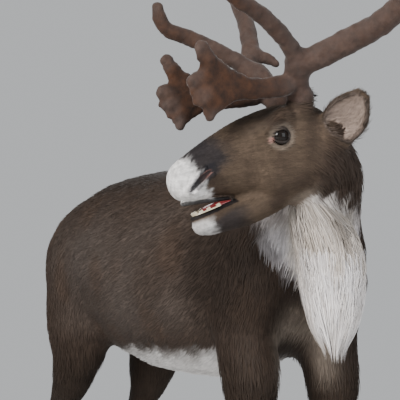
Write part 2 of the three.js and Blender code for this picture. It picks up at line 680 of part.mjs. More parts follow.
const legPieces = {};
const foreRooms = [];
for (const [name, side] of Object.entries(SIDES))
  for (const place of ["fore", "hind"]) {
    const [from, to] = place === "fore" ? [190, 600] : [-780, -250];
    const cut = plane(at(0, 0, place === "fore" ? KNEE_CUT : HOCK_CUT), at(0, 0, 1));
    const toe = (place === "fore" ? 490 : -525) + strideAt(0, side) * (place === "hind");
    const coronet = plane(at(toe, 0, CORONET_HEIGHT), at(-CORONET_SLOPE, 0, 1));
    const [inner, outer] = side > 0 ? [0, 290] : [-290, 0];
    const upper = fleshSolid(
      at(from, inner, 300), at(to, outer, 900), at(42, 36, 52), [...legZone(place, side), cut]);
    const lower = fleshSolid(
      at(from, inner, 10), at(to, outer, 500), at(19, 17, 40),
      [plane(at(0, 2 * side, 0), at(0, side, 0)), flipped(cut), coronet]);
    legPieces[`${place}leg_${name}_upper`] = upper.solid;
    legPieces[`${place}leg_${name}_lower`] = lower.solid;
    if (place === "fore") foreRooms.push(upper.room);
    Object.assign(legPieces, feet(`${place}foot_${name}`, toe, 112 * side, side, coronet, lower.room));
  }

// Two broad claws side by side, flat below, with the small dewclaws behind them.
function feet(name, toe, y, side, coronet, legRoom) {
  const CLAW = { length: 92, width: 42, levels: [0, 10, 34, 78] };
  const claw = (inner) => {
    const way = inner ? -side : side;
    const points = [];
    const SECTORS = 12;
    CLAW.levels.forEach((z) => {
      const rise = z / CLAW.levels[3];
      const [halfLength, halfWidth] = [CLAW.length / 2 * (1 - 0.3 * rise), CLAW.width / 2 * (1 - 0.16 * rise)];
      const centre = at(toe - 36 - 20 * rise, y + way * (22 - 2 * rise), z);
      for (let s = 0; s < SECTORS; s++) {
        const angle = (s * 2 * Math.PI) / SECTORS;
        const [c, w] = [Math.cos(angle), Math.sin(angle)];
        const across = w * way > 0 ? w : w * 0.86;
        points.push(centre.clone().add(at(c * halfLength, across * halfWidth * (1 - 0.22 * c), 0)));
      }
    });
    const faces = [];
    const last = (CLAW.levels.length - 1) * SECTORS;
    for (let r = 0; r < CLAW.levels.length - 1; r++)
      for (let s = 0; s < SECTORS; s++) {
        const [a, b] = [r * SECTORS + s, r * SECTORS + ((s + 1) % SECTORS)];
        faces.push(a, b, a + SECTORS, b, b + SECTORS, a + SECTORS);
      }
    for (let s = 1; s < SECTORS - 1; s++) faces.push(0, s + 1, s, last, last + s, last + s + 1);
    const whole = solidOf(shapeOf(points, faces));
    return { solid: largest(whole.intersect(halfSpace(flipped(coronet), GAP / 2))), room: swollen(whole) };
  };
  const dewclaw = (way) => clearOf(horn([
    [toe - 76, y + way * 16, 92, 12, 10],
    [toe - 94, y + way * 20, 66, 12, 11],
    [toe - 104, y + way * 23, 40, 9, 10],
    [toe - 106, y + way * 24, 26, 6, 7],
  ], { sides: 6, steps: 1 }), legRoom, claws.inner.room, claws.outer.room);
  const claws = { inner: claw(true), outer: claw(false) };
  return {
    [name + "_claw_inner"]: claws.inner.solid,
    [name + "_claw_outer"]: claws.outer.solid,
    [name + "_dewclaw_inner"]: dewclaw(-side),
    [name + "_dewclaw_outer"]: dewclaw(side),
  };
}

// The tail hangs close against the rump.
const tailSolid = clearOf(horn([
  [-590, 0, 1000, 26, 30],
  [-642, 0, 986, 26, 32],
  [-680, 0, 946, 24, 36],
  [-695, 0, 892, 20, 32],
  [-693, 0, 846, 12, 18],
], { sides: 10, steps: 2 }), torsoPart.room);

// The mane hangs from the throat and the front of the neck, as one form that narrows to its tip.
const MANE = [
  [640, -110, 950, 46, 60],
  [640, -72, 890, 62, 76],
  [628, -40, 820, 70, 82],
  [622, -28, 740, 64, 76],
  [624, -28, 670, 48, 58],
  [628, -30, 615, 18, 26],
];
const MANE_SIDE = at(-0.25, 1, 0);
const MANE_CORE_END = 3; // stations that the core takes up, less than half way to the tips
const maneHang = limb(MANE, MANE_SIDE, 8).rings;
const maneCore = limb(MANE.slice(0, MANE_CORE_END).map(
  ([x, y, z, depth, width]) => [x, y, z, 0.82 * depth, 0.82 * width]), MANE_SIDE);

// A place on the mane's outside at a height and an angle round it, and the direction round it there.
function onMane(z, angle, share) {
  const above = maneHang.filter((ring) => ring.centre.z > z).length;
  const below = clamp(above, 1, maneHang.length - 1);
  const [upper, lower] = [maneHang[below - 1], maneHang[below]];
  const along = clamp((upper.centre.z - z) / (upper.centre.z - lower.centre.z), 0, 1.2);
  const across = MANE_SIDE.clone().normalize();
  const ahead = at(across.y, -across.x, 0);
  const [depth, width] = [mix(upper.depth, lower.depth, along), mix(upper.width, lower.width, along)];
  const centre = upper.centre.clone().lerp(lower.centre, along).setZ(z);
  return {
    place: centre.addScaledVector(ahead, Math.cos(angle) * depth * share)
      .addScaledVector(across, Math.sin(angle) * width * share),
    round: across.multiplyScalar(Math.cos(angle)).addScaledVector(ahead, -Math.sin(angle)),
  };
}

// Locks hang in rows, each a flat tapered strand that starts inside the form and bends out of it.
const LOCK_ROWS = [
  { root: 908, tip: 736, count: 5, breadth: 54 },
  { root: 836, tip: 668, count: 5, breadth: 51 },
  { root: 784, tip: 618, count: 4, breadth: 43 },
  { root: 774, tip: 594, count: 3, breadth: 27 },
];
const unlike = (n) => (Math.abs(Math.sin(n * 12.9898 + 4.1) * 43758.5453) % 1) - 0.5;
function lock(row, angle, seed) {
  const length = (row.root - row.tip) * (1 + 0.16 * unlike(seed));
  const sway = 0.16 * unlike(seed + 40);
  const shapes = [[0, 0.6, 0.8, 13], [0.5, 0.93, 1, 12], [1, 0.9, 0.16, 5]];
  const { round } = onMane(row.root - length / 2, angle, 1);
  const stations = shapes.map(([along, share, wide, thick]) => {
    const { place } = onMane(Math.max(row.root - along * length, 596), angle + sway * along, share);
    return [place.x, place.y, place.z - 4 * unlike(seed + 7) * along, thick, wide * row.breadth];
  });
  return horn(stations, { sides: 4, steps: 1, wide: round, blunt: 0.3 });
}
const locks = LOCK_ROWS.flatMap((row, r) => Array.from({ length: row.count }, (_, n) =>
  lock(row, ((n + (r % 2) / 2) / row.count) * 2 * Math.PI, 10 * r + n)));

const maneField = (point) => limbDistance(maneCore, point);
const manePart = fleshSolid(at(500, -240, 760), at(740, 120, 1030), at(48, 48, 50), [], [], maneField);
const maneSolid = clearOf(
  joined([manePart.solid, ...locks]), neckPart.room, torsoPart.room, placed(headRoom, headFrame), ...foreRooms);

// The animal, with the head's pieces in a group of their own.
const reindeer = new THREE.Group();
const animal = new THREE.Group();
reindeer.add(animal);
const headGroup = new THREE.Group();
headGroup.position.copy(HEAD_ORIGIN);
headGroup.setRotationFromMatrix(headFrame);
animal.add(headGroup);

function addPiece(name, solid, finish, group = animal) {
  const mesh = solid.getMesh();
  const points = Array.from({ length: mesh.numVert }, (_, v) =>
    at(...mesh.vertProperties.subarray(v * mesh.numProp, v * mesh.numProp + 3)));
  const shape = shapeOf(points, [...mesh.triVerts]);
  shape.computeVertexNormals();
  const piece = new THREE.Mesh(shape, new THREE.MeshStandardMaterial({ ...FINISH[finish], metalness: 0 }));
  piece.name = name;
  group.add(piece);
}

addPiece("torso", torsoPart.solid, "coat");
addPiece("neck", neckPart.solid, "coat");
addPiece("mane", maneSolid, "mane");
addPiece("tail", tailSolid, "coat");
for (const [name, solid] of Object.entries(legPieces))
  addPiece(name, solid, name.includes("claw") ? "hoof" : "coat");
addPiece("head", headSolid, "coat", headGroup);
addPiece("lower_jaw", jawSolid, "coat", headGroup);
addPiece("tongue", tongueSolid, "tongue", headGroup);
addPiece("teeth_lower", teethSolid, "tooth", headGroup);
for (const name of Object.keys(SIDES)) {
  addPiece("ear_" + name, ears[name], "coat", headGroup);
  addPiece("eye_" + name, eyeballs[name], "eye", headGroup);
}
for (const [name, solid] of Object.entries(antlers)) addPiece("antler_" + name, solid, "velvet", headGroup);

// The origin is on the floor under the middle of the animal's bounding box.
reindeer.updateMatrixWorld(true);
const middle = new THREE.Box3().setFromObject(reindeer, true).getCenter(at(0, 0, 0));
animal.position.set(-middle.x, -middle.y, 0);

export default reindeer;
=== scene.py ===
# %% [markdown]
# A reindeer bull, life-size, in the pose of the photograph.
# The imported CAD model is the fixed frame: it gives the size, the place and the collision shapes.
# This lesson lays one seamless skin a little under those shapes, covers it with tufts of hair,
# hangs the long throat mane, and gives antlers, hooves, eyes and mouth their finish.

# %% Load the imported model
import json
import math

import bpy
import numpy as np
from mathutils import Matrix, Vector

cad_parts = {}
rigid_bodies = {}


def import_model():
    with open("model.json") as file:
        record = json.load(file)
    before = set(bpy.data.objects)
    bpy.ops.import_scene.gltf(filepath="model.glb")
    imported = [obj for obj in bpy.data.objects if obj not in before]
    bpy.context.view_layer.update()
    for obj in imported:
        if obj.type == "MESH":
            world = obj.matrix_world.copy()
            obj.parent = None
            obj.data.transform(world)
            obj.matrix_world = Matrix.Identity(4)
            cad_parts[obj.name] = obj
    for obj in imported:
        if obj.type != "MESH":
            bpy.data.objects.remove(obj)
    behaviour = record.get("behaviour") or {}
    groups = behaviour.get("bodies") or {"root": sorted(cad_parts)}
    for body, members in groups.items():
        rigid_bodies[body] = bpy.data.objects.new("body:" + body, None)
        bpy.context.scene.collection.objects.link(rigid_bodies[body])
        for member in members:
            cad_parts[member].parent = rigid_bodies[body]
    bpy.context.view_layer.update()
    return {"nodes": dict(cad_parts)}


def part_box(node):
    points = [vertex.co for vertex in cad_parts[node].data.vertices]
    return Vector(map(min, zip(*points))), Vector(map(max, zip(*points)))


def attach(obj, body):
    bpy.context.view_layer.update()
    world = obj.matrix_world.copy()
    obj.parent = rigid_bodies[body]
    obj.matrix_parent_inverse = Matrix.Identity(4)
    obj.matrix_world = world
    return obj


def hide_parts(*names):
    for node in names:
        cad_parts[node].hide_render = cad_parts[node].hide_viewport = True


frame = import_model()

rng = np.random.default_rng(11)
print("nodes", len(frame["nodes"]), "quick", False)

# %% [markdown]
# The body is described the way a sculptor builds an armature: each limb is a row of oval stations,
# given as x, y, z, half depth and half width in millimetres, and a smooth curve runs through them.
# Modelling by hand or sculpting would also work. Stations keep every proportion a named number,
# and the same numbers shaped the CAD solids, so skin and solids agree from every side.

# %% Smooth rows of oval stations
def spline(values, steps):
    """Catmull-Rom curve through rows of numbers, with the ends carried on."""
    values = np.array(values, float)
    padded = np.vstack([2 * values[0] - values[1], values, 2 * values[-1] - values[-2]])
    rows = []
    for n in range(len(values) - 1):
        a, b, c, d = padded[n:n + 4]
        for t in np.arange(steps) / steps:
            rows.append(0.5 * (2 * b + (c - a) * t + (2 * a - 5 * b + 4 * c - d) * t * t
                               + (3 * b - a - 3 * c + d) * t ** 3))
    return np.array(rows + [values[-1]])


def limb(stations, side=(0, 1, 0), steps=4):
    rows = spline(stations, steps)
    side = np.array(side, float) / np.linalg.norm(side)
    reach = rows[:, 3:5].max() + 90
    return {"rows": rows, "side": side, "low": rows[:, :3].min(0) - reach,
            "high": rows[:, :3].max(0) + reach}


def mirrored(stations, sign):
    return [[s[0], s[1] * sign, *s[2:]] for s in stations]


# %% Distance to a limb
FAR = 900.0


def stretch(part, n, points):
    """Distance to one stretch of a limb, the share along it and the arm to its middle line."""
    a, b = part["rows"][n], part["rows"][n + 1]
    span = b[:3] - a[:3]
    arm = points - a[:3]
    share = np.clip(arm @ (span / (span @ span)), 0, 1)
    depth = a[3] + share * (b[3] - a[3])
    width = a[4] + share * (b[4] - a[4])
    arm = arm - share[:, None] * span
    wide = arm @ part["side"]
    round_part = np.einsum("ij,ij->i", arm, arm) + wide * wide * ((depth / width) ** 2 - 1)
    gap = (np.sqrt(np.maximum(round_part, 0)) - depth) * np.minimum(1, width / depth)
    return gap, share, arm, span


def near(part, points):
    """Distance to a limb, worked out only for the points close enough to matter."""
    out = np.full(len(points), FAR)
    inside = (points > part["low"]) & (points < part["high"])
    close = np.flatnonzero(inside[:, 0] & inside[:, 1] & inside[:, 2])
    if len(close):
        some = points[close]
        best = np.full(len(close), FAR)
        for n in range(len(part["rows"]) - 1):
            np.minimum(best, stretch(part, n, some)[0], out=best)
        out[close] = best
    return out


def blend(a, b, width):
    """Joins two distances with a fillet about as wide as the width."""
    share = np.maximum(width - np.abs(a - b), 0) / width
    return np.minimum(a, b) - share * share * width / 4


def unit(vectors):
    """Vectors brought to a length of one."""
    return vectors / np.maximum(np.linalg.norm(vectors, axis=-1, keepdims=True), 1e-9)


def fade(value, start, stop):
    """Runs smoothly from 0 at start to 1 at stop."""
    t = np.clip((value - start) / (stop - start), 0, 1)
    return t * t * (3 - 2 * t)


def ripple(points, size, seed=0):
    """A soft irregular swell of about the given wavelength, between -1 and 1."""
    total = 0
    for n in range(5):
        way = np.random.default_rng(seed * 10 + n).normal(size=3)
        way /= np.linalg.norm(way)
        total = total + np.sin(points @ way * (2 * math.pi / (size * (0.7 + 0.17 * n))) + n * 2.1 + seed)
    return total / 3


# %% [markdown]
# Trunk, legs and neck stand square in the body's own axes, with the left hind foot a step ahead.
# The head has axes of its own: x to the nose, y to its left, z to the forehead. It is turned 94
# degrees to the right and 33 degrees nose down, so that it looks past the viewer as in the photo.

# %% Trunk, legs, neck and tail
trunk = limb([
    [-484, 0, 878, 188, 182], [-320, 0, 856, 236, 216], [-150, 0, 830, 264, 230],
    [0, 0, 816, 268, 230], [130, 0, 814, 268, 226], [270, 0, 836, 256, 196],
    [370, 0, 866, 205, 160], [405, 0, 868, 160, 130],
])
neck = limb([
    [380, 0, 930, 172, 122], [470, -4, 958, 160, 118], [555, -28, 996, 132, 98],
    [612, -66, 1024, 110, 80], [640, -102, 1036, 98, 68], [642, -128, 1044, 86, 66],
])
tail = limb([
    [-590, 0, 1000, 22, 26], [-642, 0, 986, 22, 28], [-680, 0, 946, 19, 30],
    [-695, 0, 892, 15, 26], [-693, 0, 852, 8, 14],
])
FORELEG = [
    [330, 80, 1005, 84, 50], [440, 110, 830, 98, 66], [400, 112, 670, 90, 70],
    [418, 112, 560, 82, 66], [424, 110, 470, 60, 50], [432, 108, 385, 40, 37],
    [430, 108, 335, 34, 32], [428, 108, 240, 24, 21], [427, 110, 150, 27, 24],
    [427, 110, 125, 32, 29], [441, 110, 85, 29, 33], [452, 110, 56, 34, 40],
    [460, 110, 36, 36, 40],
]
HIND_LEG = [
    [-458, 118, 820, 164, 92], [-456, 122, 700, 148, 88], [-472, 122, 610, 104, 72],
    [-516, 121, 530, 76, 57], [-575, 118, 470, 52, 42], [-622, 115, 420, 38, 31],
    [-620, 113, 370, 32, 27], [-604, 112, 270, 25, 22], [-592, 112, 160, 27, 24],
    [-590, 112, 128, 32, 29], [-574, 112, 85, 29, 33], [-563, 112, 56, 34, 40],
    [-555, 112, 36, 36, 40],
]
HAMSTRING = [
    [-545, 119, 600, 44, 34], [-596, 118, 520, 26, 20], [-645, 115, 450, 20, 17],
    [-646, 114, 420, 20, 18],
]
HIND_STRIDE = 80


def stepped(stations, side):
    """The left hind leg reaches forwards, more so further down."""
    moved = mirrored(stations, side)
    for row in moved:
        if side > 0:
            row[0] += HIND_STRIDE * np.clip((560 - row[2]) / 190, 0, 1)
    return moved


legs = []
for side in (1, -1):
    legs.append({"bone": limb(mirrored(FORELEG, side)), "tendon": None})
    legs.append({"bone": limb(stepped(HIND_LEG, side)), "tendon": limb(stepped(HAMSTRING, side))})
print("limbs of the body", 3 + len(legs))

# %% The hanging form of the mane
MANE = [
    [640, -110, 950, 46, 60], [640, -72, 890, 62, 76], [628, -40, 820, 70, 82],
    [622, -28, 740, 64, 76], [624, -28, 670, 48, 58], [628, -30, 615, 18, 26],
]
MANE_SIDE = (-0.25, 1, 0)
mane_form = limb(MANE, MANE_SIDE, 8)
mane_core = limb([[x, y, z, 0.66 * d, 0.66 * w] for x, y, z, d, w in MANE[:4]], MANE_SIDE)

# %% The head's own frame
HEAD_ORIGIN = np.array([641.4, -210.2, 1063.2])
YAW = math.radians(-94)
PITCH = math.radians(33)
HEAD_AXES = np.array([
    [math.cos(PITCH) * math.cos(YAW), math.cos(PITCH) * math.sin(YAW), -math.sin(PITCH)],
    [-math.sin(YAW), math.cos(YAW), 0],
    [math.sin(PITCH) * math.cos(YAW), math.sin(PITCH) * math.sin(YAW), math.cos(PITCH)],
])


def to_head(points):
    return (points - HEAD_ORIGIN) @ HEAD_AXES.T


def from_head(points):
    return np.asarray(points, float) @ HEAD_AXES + HEAD_ORIGIN


EYE = np.array([2.0, 57.0, 0.0])
EYE_RADIUS = 20.0
OVER_EYE = (4, 56, 30)
EYE_CORNER = (28, 66, 3)
low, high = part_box("eye_left")
eye_here = (np.array(low) + np.array(high)) / 2 * 1000
SHIFT = from_head(EYE) - eye_here


def to_frame(points):
    """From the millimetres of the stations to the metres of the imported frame."""
    return (np.asarray(points, float) - SHIFT) / 1000


print("shift", np.round(SHIFT, 1))

# %% Skull, jaw and the forms of the face
skull = limb([
    [-72, 0, -36, 72, 66], [-20, 0, -30, 88, 70], [45, 0, -16, 86, 62], [100, 0, 2, 70, 50],
    [150, 0, 14, 56, 43], [188, 0, 16, 51, 40], [206, 0, 20, 44, 39],
])
mandible = limb([
    [-45, 0, -88, 50, 50], [45, 0, -100, 42, 42], [120, 0, -100, 33, 36],
    [170, 0, -90, 28, 31], [205, 0, -80, 27, 27], [226, 0, -74, 22, 21],
])
FACE_FORMS = [
    [[-30, 44, -72, 52, 26], [45, 38, -66, 44, 24]],  # cheek
    [[-32, 50, 26, 24, 22], [6, 52, 24, 25, 24], [34, 40, 30, 22, 20]],  # brow
    [[-78, 42, 18, 34, 28], [-97, 47, 40, 21, 21]],  # pedicle of the antler
    [[-104, 44, -44, 28, 26], [-116, 57, -54, 24, 18]],  # root of the ear
    [[186, 22, 14, 24, 18], [212, 18, 10, 26, 20]],  # side of the nose
]
face_forms = [limb(mirrored(form, side)) for form in FACE_FORMS for side in (1, -1)]


def bare_head(inner):
    gap = blend(near(skull, inner), near(mandible, inner), 16)
    for form in face_forms:
        gap = blend(gap, near(form, inner), 14)
    return gap


# %% Where the cheek lies, seen from the side
def cheek_at(x, z, side):
    """Half width of the head at a place of its side view."""
    inner, outer = 0.0, 140.0
    for turn in range(16):
        middle = (inner + outer) / 2
        if bare_head(np.array([[x, middle * side, z]]))[0] < 0:
            inner = middle
        else:
            outer = middle
    return inner * side


def on_cheek(side, spots, sunk):
    return limb([[x, cheek_at(x, z, side) - sunk * side, z, size, size] for x, z, size in spots])


# %% [markdown]
# The mouth stands a little open. Its slit is a wedge between an upper and a lower edge, and a lip
# is a soft tube laid along each. The nostril is a slanting comma sunk in the side of the nose, with
# a raised wing above and below it. Lids are two arcs round each eyeball on a slant, front corner high.

# %% Mouth, lips and nostrils
MOUTH_CORNER = np.array([140.0, -65.0])
TOP_SLOPE = 0.44
LOW_SLOPE = 0.17


def mouth_top(x):
    return MOUTH_CORNER[1] + (x - MOUTH_CORNER[0]) * TOP_SLOPE


def mouth_low(x):
    return MOUTH_CORNER[1] + (x - MOUTH_CORNER[0]) * LOW_SLOPE


def mouth_gap(inner, drop=0):
    """Distance to the open wedge between the lips. Its floor can be set lower, to free the teeth."""
    top = (inner[:, 2] - mouth_top(inner[:, 0])) / math.hypot(1, TOP_SLOPE)
    low = (mouth_low(inner[:, 0]) - drop - inner[:, 2]) / math.hypot(1, LOW_SLOPE)
    back = MOUTH_CORNER[0] + 2 - inner[:, 0]
    return np.maximum(np.maximum(top, low), back)


def lip(edge, rise, front, size):
    flank = []
    for n, x in enumerate([146, 158, 176, 200, 224]):
        thick = size - 0.5 * (4 - n)
        z = edge(x) + rise * (thick + 0.6)
        flank.append([x, cheek_at(x, z, 1) - 1.5, z, thick, thick])
    middle = [front, 0, edge(front) + rise * (size + 0.6), size, size]
    return limb(flank + [middle] + mirrored(flank, -1)[::-1], steps=3)


lips = [lip(mouth_top, 1, 240, 5.2), lip(mouth_low, -1, 238, 4.6)]
nostrils = []
wings = []
for side in (1, -1):
    nostrils.append(on_cheek(side, [[170, 16, 2], [184, 15, 3.4], [200, 12, 4.2], [215, 8, 4],
                                    [228, 3, 2.4]], 0.5))
    wings.append(on_cheek(side, [[168, 7, 3], [188, 5, 4.5], [208, 2, 4.5], [224, -4, 3]], 0))
    wings.append(on_cheek(side, [[176, 27, 3], [196, 25, 4.5], [213, 20, 4.5], [227, 13, 3]], 0))
print("nostril set in by", [round(float(n["rows"][4][1]), 1) for n in nostrils])

# %% Lids
LID_SLANT = math.radians(26)


def lid(side, start, stop, lift, size):
    stations = []
    for angle in np.linspace(start, stop, 9):
        u, w = 19.0 * math.cos(angle), 14.2 * math.sin(angle)
        x = u * math.cos(LID_SLANT) - w * math.sin(LID_SLANT)
        z = u * math.sin(LID_SLANT) + w * math.cos(LID_SLANT)
        out = math.sqrt(max((EYE_RADIUS + lift) ** 2 - x * x - z * z, 4))
        thick = size + 1.4 * math.sin(angle) ** 2
        stations.append([EYE[0] + x, (EYE[1] + out - 1.2) * side, EYE[2] + z, thick, thick])
    return limb(stations, steps=3)


lids = []
folds = []
for side in (1, -1):
    lids.append(lid(side, -0.12, math.pi + 0.1, 2.2, 2.4))
    lids.append(lid(side, math.pi - 0.1, 2 * math.pi + 0.12, 1.6, 2.0))
    folds.append(on_cheek(side, [[-26, 16, 2.2], [-10, 29, 3], [12, 32, 3], [32, 24, 2.4]], 1))
    folds.append(on_cheek(side, [[-18, -22, 2], [2, -27, 2.6], [24, -22, 2.6], [40, -10, 2]], 1))

# %% [markdown]
# An ear is a deep cup on a short stalk: a leaf-shaped outside with a smaller leaf taken out of its
# face. The far ear turns the same way about the head's middle, as a mirrored pair does in life.

# %% Ears
EAR_ROOT = np.array([-112.0, 64.0, -62.0])
EAR_AXIS = np.array([-0.657, 0.585, 0.475])
EAR_FACE = np.array([0.667, 0.745, 0.007])
EAR_LENGTH = 107


def ear_leaf(side, inset, lift, start):
    flip = np.array([1, side, 1])
    axis = EAR_AXIS * flip / np.linalg.norm(EAR_AXIS)
    face = EAR_FACE * flip
    rows = []
    for share in [s for s in (0, 0.16, 0.34, 0.55, 0.76, 0.93, 1) if s >= start]:
        width = 32 + 15 * math.sin(math.pi * min(share * 1.1 + 0.05, 1)) - 16 * share ** 6
        depth = 21 * (1 - share) ** 0.6 + 4.5
        centre = EAR_ROOT * flip + axis * share * (EAR_LENGTH - inset) + face * lift
        rows.append([*centre, depth - inset * 0.6, width - inset])
    return limb(rows, side=np.cross(axis, face))


ears = [{"outer": ear_leaf(s, 0.5, 0, 0), "inner": ear_leaf(s, 6.5, 9, 0.1)} for s in (1, -1)]


def ear_distance(inner):
    gap = np.full(len(inner), FAR)
    for ear in ears:
        gap = np.minimum(gap, np.maximum(near(ear["outer"], inner), -near(ear["inner"], inner)))
    return gap


# %% [markdown]
# The skin is where one blended distance is nought. It lies under the solids by the depth of the
# coat: about a centimetre on the trunk, two millimetres on the face and feet. Blending distances
# gives soft folds at shoulder and groin with no seam, which joined separate meshes don't.

# %% One distance for the whole skin
COAT_DEPTH = 7.0
FACE_DEPTH = 1.5
TEETH_ROOM = 3.5
SOCKET_ROOM = 0.3


def spot_gap(inner, spot):
    """Distance to a spot of the head or to its mirror image, whichever is nearer."""
    sides = [np.linalg.norm(inner - np.array(spot) * [1, side, 1], axis=1) for side in (1, -1)]
    return np.minimum(*sides)


def head_distance(inner):
    gap = bare_head(inner) + FACE_DEPTH
    for form in wings:
        gap = blend(gap, near(form, inner), 5)
    gap = np.maximum(gap, -mouth_gap(inner, TEETH_ROOM))
    for form in lips:
        gap = blend(gap, near(form, inner), 5)
    for form in folds:
        gap = blend(gap, near(form, inner) + 1.2, 5)
    for form in nostrils:
        gap = -blend(-gap, near(form, inner), 3)
    gap = -blend(-gap, spot_gap(inner, EYE) - EYE_RADIUS - SOCKET_ROOM, 2)
    for form in lids:
        gap = blend(gap, near(form, inner), 3.5)
    return blend(gap, ear_distance(inner), 9)


def body_distance(points):
    gap = near(trunk, points)
    for leg in legs:
        part = near(leg["bone"], points)
        if leg["tendon"]:
            part = blend(part, near(leg["tendon"], points), 30)
        gap = blend(gap, part, 46)
    gap = blend(gap, near(neck, points), 60)
    depth = 1.5 + COAT_DEPTH * fade(points[:, 2], 90, 520)
    swell = 2.2 * ripple(points, 210, 3) + 1.1 * ripple(points, 90, 4)
    gap = gap + depth + swell * fade(points[:, 2], 420, 640)
    gap = blend(gap, near(mane_core, points), 30)
    return blend(gap, near(tail, points), 24)


HEAD_ROOM = ([-330, -260, -260], [300, 260, 200])


def skin_distance(points):
    gap = body_distance(points)
    inner = to_head(points)
    close = np.all((inner > HEAD_ROOM[0]) & (inner < HEAD_ROOM[1]), axis=1)
    if close.any():
        gap[close] = blend(gap[close], head_distance(inner[close]), 24)
    return gap


# %% [markdown]
# A net of quads is stretched over the place where the distance changes sign: one point in each
# small block that the surface crosses, moved onto the surface, joined to its neighbours. Marching
# cubes or a voxel remesh would do too. This net keeps the quads even and shades smoothly.

# %% Work in shares, side by side
from concurrent.futures import ThreadPoolExecutor

workers = ThreadPoolExecutor(4)


def in_shares(task, points, size=12000):
    """Runs a task on shares of the points at the same time and joins what it gives."""
    parts = [points[n:n + size] for n in range(0, len(points), size)]
    return np.concatenate(list(workers.map(task, parts)))


# %% A net over a distance
def grid(*axes):
    """Every place of a grid, from its places along the three axes."""
    return np.stack(np.meshgrid(*axes, indexing="ij"), -1).reshape(-1, 3)


def crossings(axes, index):
    """Places of some crossings of a grid, from their numbers along the axes."""
    return np.stack([axes[n][index[:, n]] for n in range(3)], -1)


def sampled(distance, axes, block=6):
    """Distances at the crossings of a grid, in full only near the surface."""
    counts = [len(a) for a in axes]
    values = np.full(counts, FAR, np.float32)
    starts = [np.arange(0, n, block) for n in counts]
    middles = []
    for a, s in zip(axes, starts):
        ends = np.minimum(s + block, len(a) - 1)
        middles.append(((a[s] + a[ends]) / 2, (a[ends] - a[s]) / 2))
    rough = in_shares(distance, grid(*[m[0] for m in middles]))
    reach = np.linalg.norm(grid(*[m[1] for m in middles]), axis=1) + 4
    cells = grid(*starts)
    for (i, j, k), gap in zip(cells, rough):
        values[i:i + block, j:j + block, k:k + block] = gap
    close = cells[np.abs(rough) < reach]
    local = grid(*[np.arange(block)] * 3)
    index = (close[:, None, :] + local[None, :, :]).reshape(-1, 3)
    index = index[np.all(index < counts, axis=1)]
    values[tuple(index.T)] = in_shares(distance, crossings(axes, index))
    return values


def onto(distance, points, step=0.5):
    """Moves points down the slope of a distance to where it is nought."""
    here = distance(points)
    slope = np.stack([distance(points + move) - here for move in step * np.eye(3)], -1) / step
    return points - slope * (here / np.maximum((slope ** 2).sum(1), 0.1))[:, None]


def net_over(distance, axes):
    """Points and quads of the surface where a distance is nought."""
    values = sampled(distance, axes)
    inside = values < 0
    nx, ny, nz = [n - 1 for n in inside.shape]
    corners = [(i, j, k) for i in (0, 1) for j in (0, 1) for k in (0, 1)]
    count = sum(inside[i:i + nx, j:j + ny, k:k + nz].astype(np.int8) for i, j, k in corners)
    cells = np.argwhere((count > 0) & (count < 8))
    owner = np.full((nx, ny, nz), -1, np.int32)
    owner[tuple(cells.T)] = np.arange(len(cells))
    total = np.zeros((len(cells), 3))
    hits = np.zeros(len(cells))
    for a in corners:
        for b in corners:
            if sum(b) - sum(a) != 1 or min(np.subtract(b, a)) < 0:
                continue
            at_a, at_b = cells + a, cells + b
            va, vb = values[tuple(at_a.T)], values[tuple(at_b.T)]
            crossed = (va < 0) != (vb < 0)
            share = np.where(crossed, va / np.where(crossed, va - vb, 1), 0)
            pa, pb = crossings(axes, at_a), crossings(axes, at_b)
            total += (pa + (pb - pa) * share[:, None]) * crossed[:, None]
            hits += crossed
    points = total / hits[:, None]
    low, high = crossings(axes, cells), crossings(axes, cells + 1)
    points = in_shares(lambda part: onto(distance, part), points)
    points = np.clip(points, low + 0.03 * (high - low), high - 0.03 * (high - low))
    quads = []
    turns = [((0, -1, -1), (0, 0, -1), (0, 0, 0), (0, -1, 0)),
             ((-1, 0, -1), (-1, 0, 0), (0, 0, 0), (0, 0, -1)),
             ((-1, -1, 0), (0, -1, 0), (0, 0, 0), (-1, 0, 0))]
    for axis, ring in enumerate(turns):
        ahead = np.roll(inside, -1, axis)
        changed = inside != ahead
        changed[0], changed[:, 0], changed[:, :, 0] = False, False, False
        changed[-1], changed[:, -1], changed[:, :, -1] = False, False, False
        spots = np.argwhere(changed)
        face = np.stack([owner[tuple((spots + r).T)] for r in ring], -1)
        flip = ~inside[tuple(spots.T)]
        face[flip] = face[flip][:, ::-1]
        quads.append(face)
    return points, np.vstack(quads)


def evenly(*bands):
    """Grid lines from bands of start, stop and spacing that follow each other."""
    lines = []
    for start, stop, step in bands:
        lines.append(np.arange(start, stop - step * 0.5, step))
    return np.concatenate(lines + [[bands[-1][1]]])


# %% Stretch the skin
BODY_CELL = 9.0
HEAD_CELL = 3.0
skin_axes = [
    evenly((-760, 500, BODY_CELL), (500, 800, HEAD_CELL), (800, 830, BODY_CELL)),
    evenly((-540, 30, HEAD_CELL * 1.15), (30, 290, BODY_CELL)),
    evenly((18, 850, BODY_CELL), (850, 1180, HEAD_CELL), (1180, 1200, BODY_CELL)),
]
skin_points, skin_quads = net_over(skin_distance, skin_axes)
print("skin", len(skin_points), "points", len(skin_quads), "quads")

# %% [markdown]
# Antlers in velvet are rounded and a little lumpy, with broad flat blades at the brow and crown.
# Left and right differ in life and in the photo: the left beam sweeps out wide, the right one rises.
# The same kind of net covers their stations, so forks are webbed with skin instead of crossing.

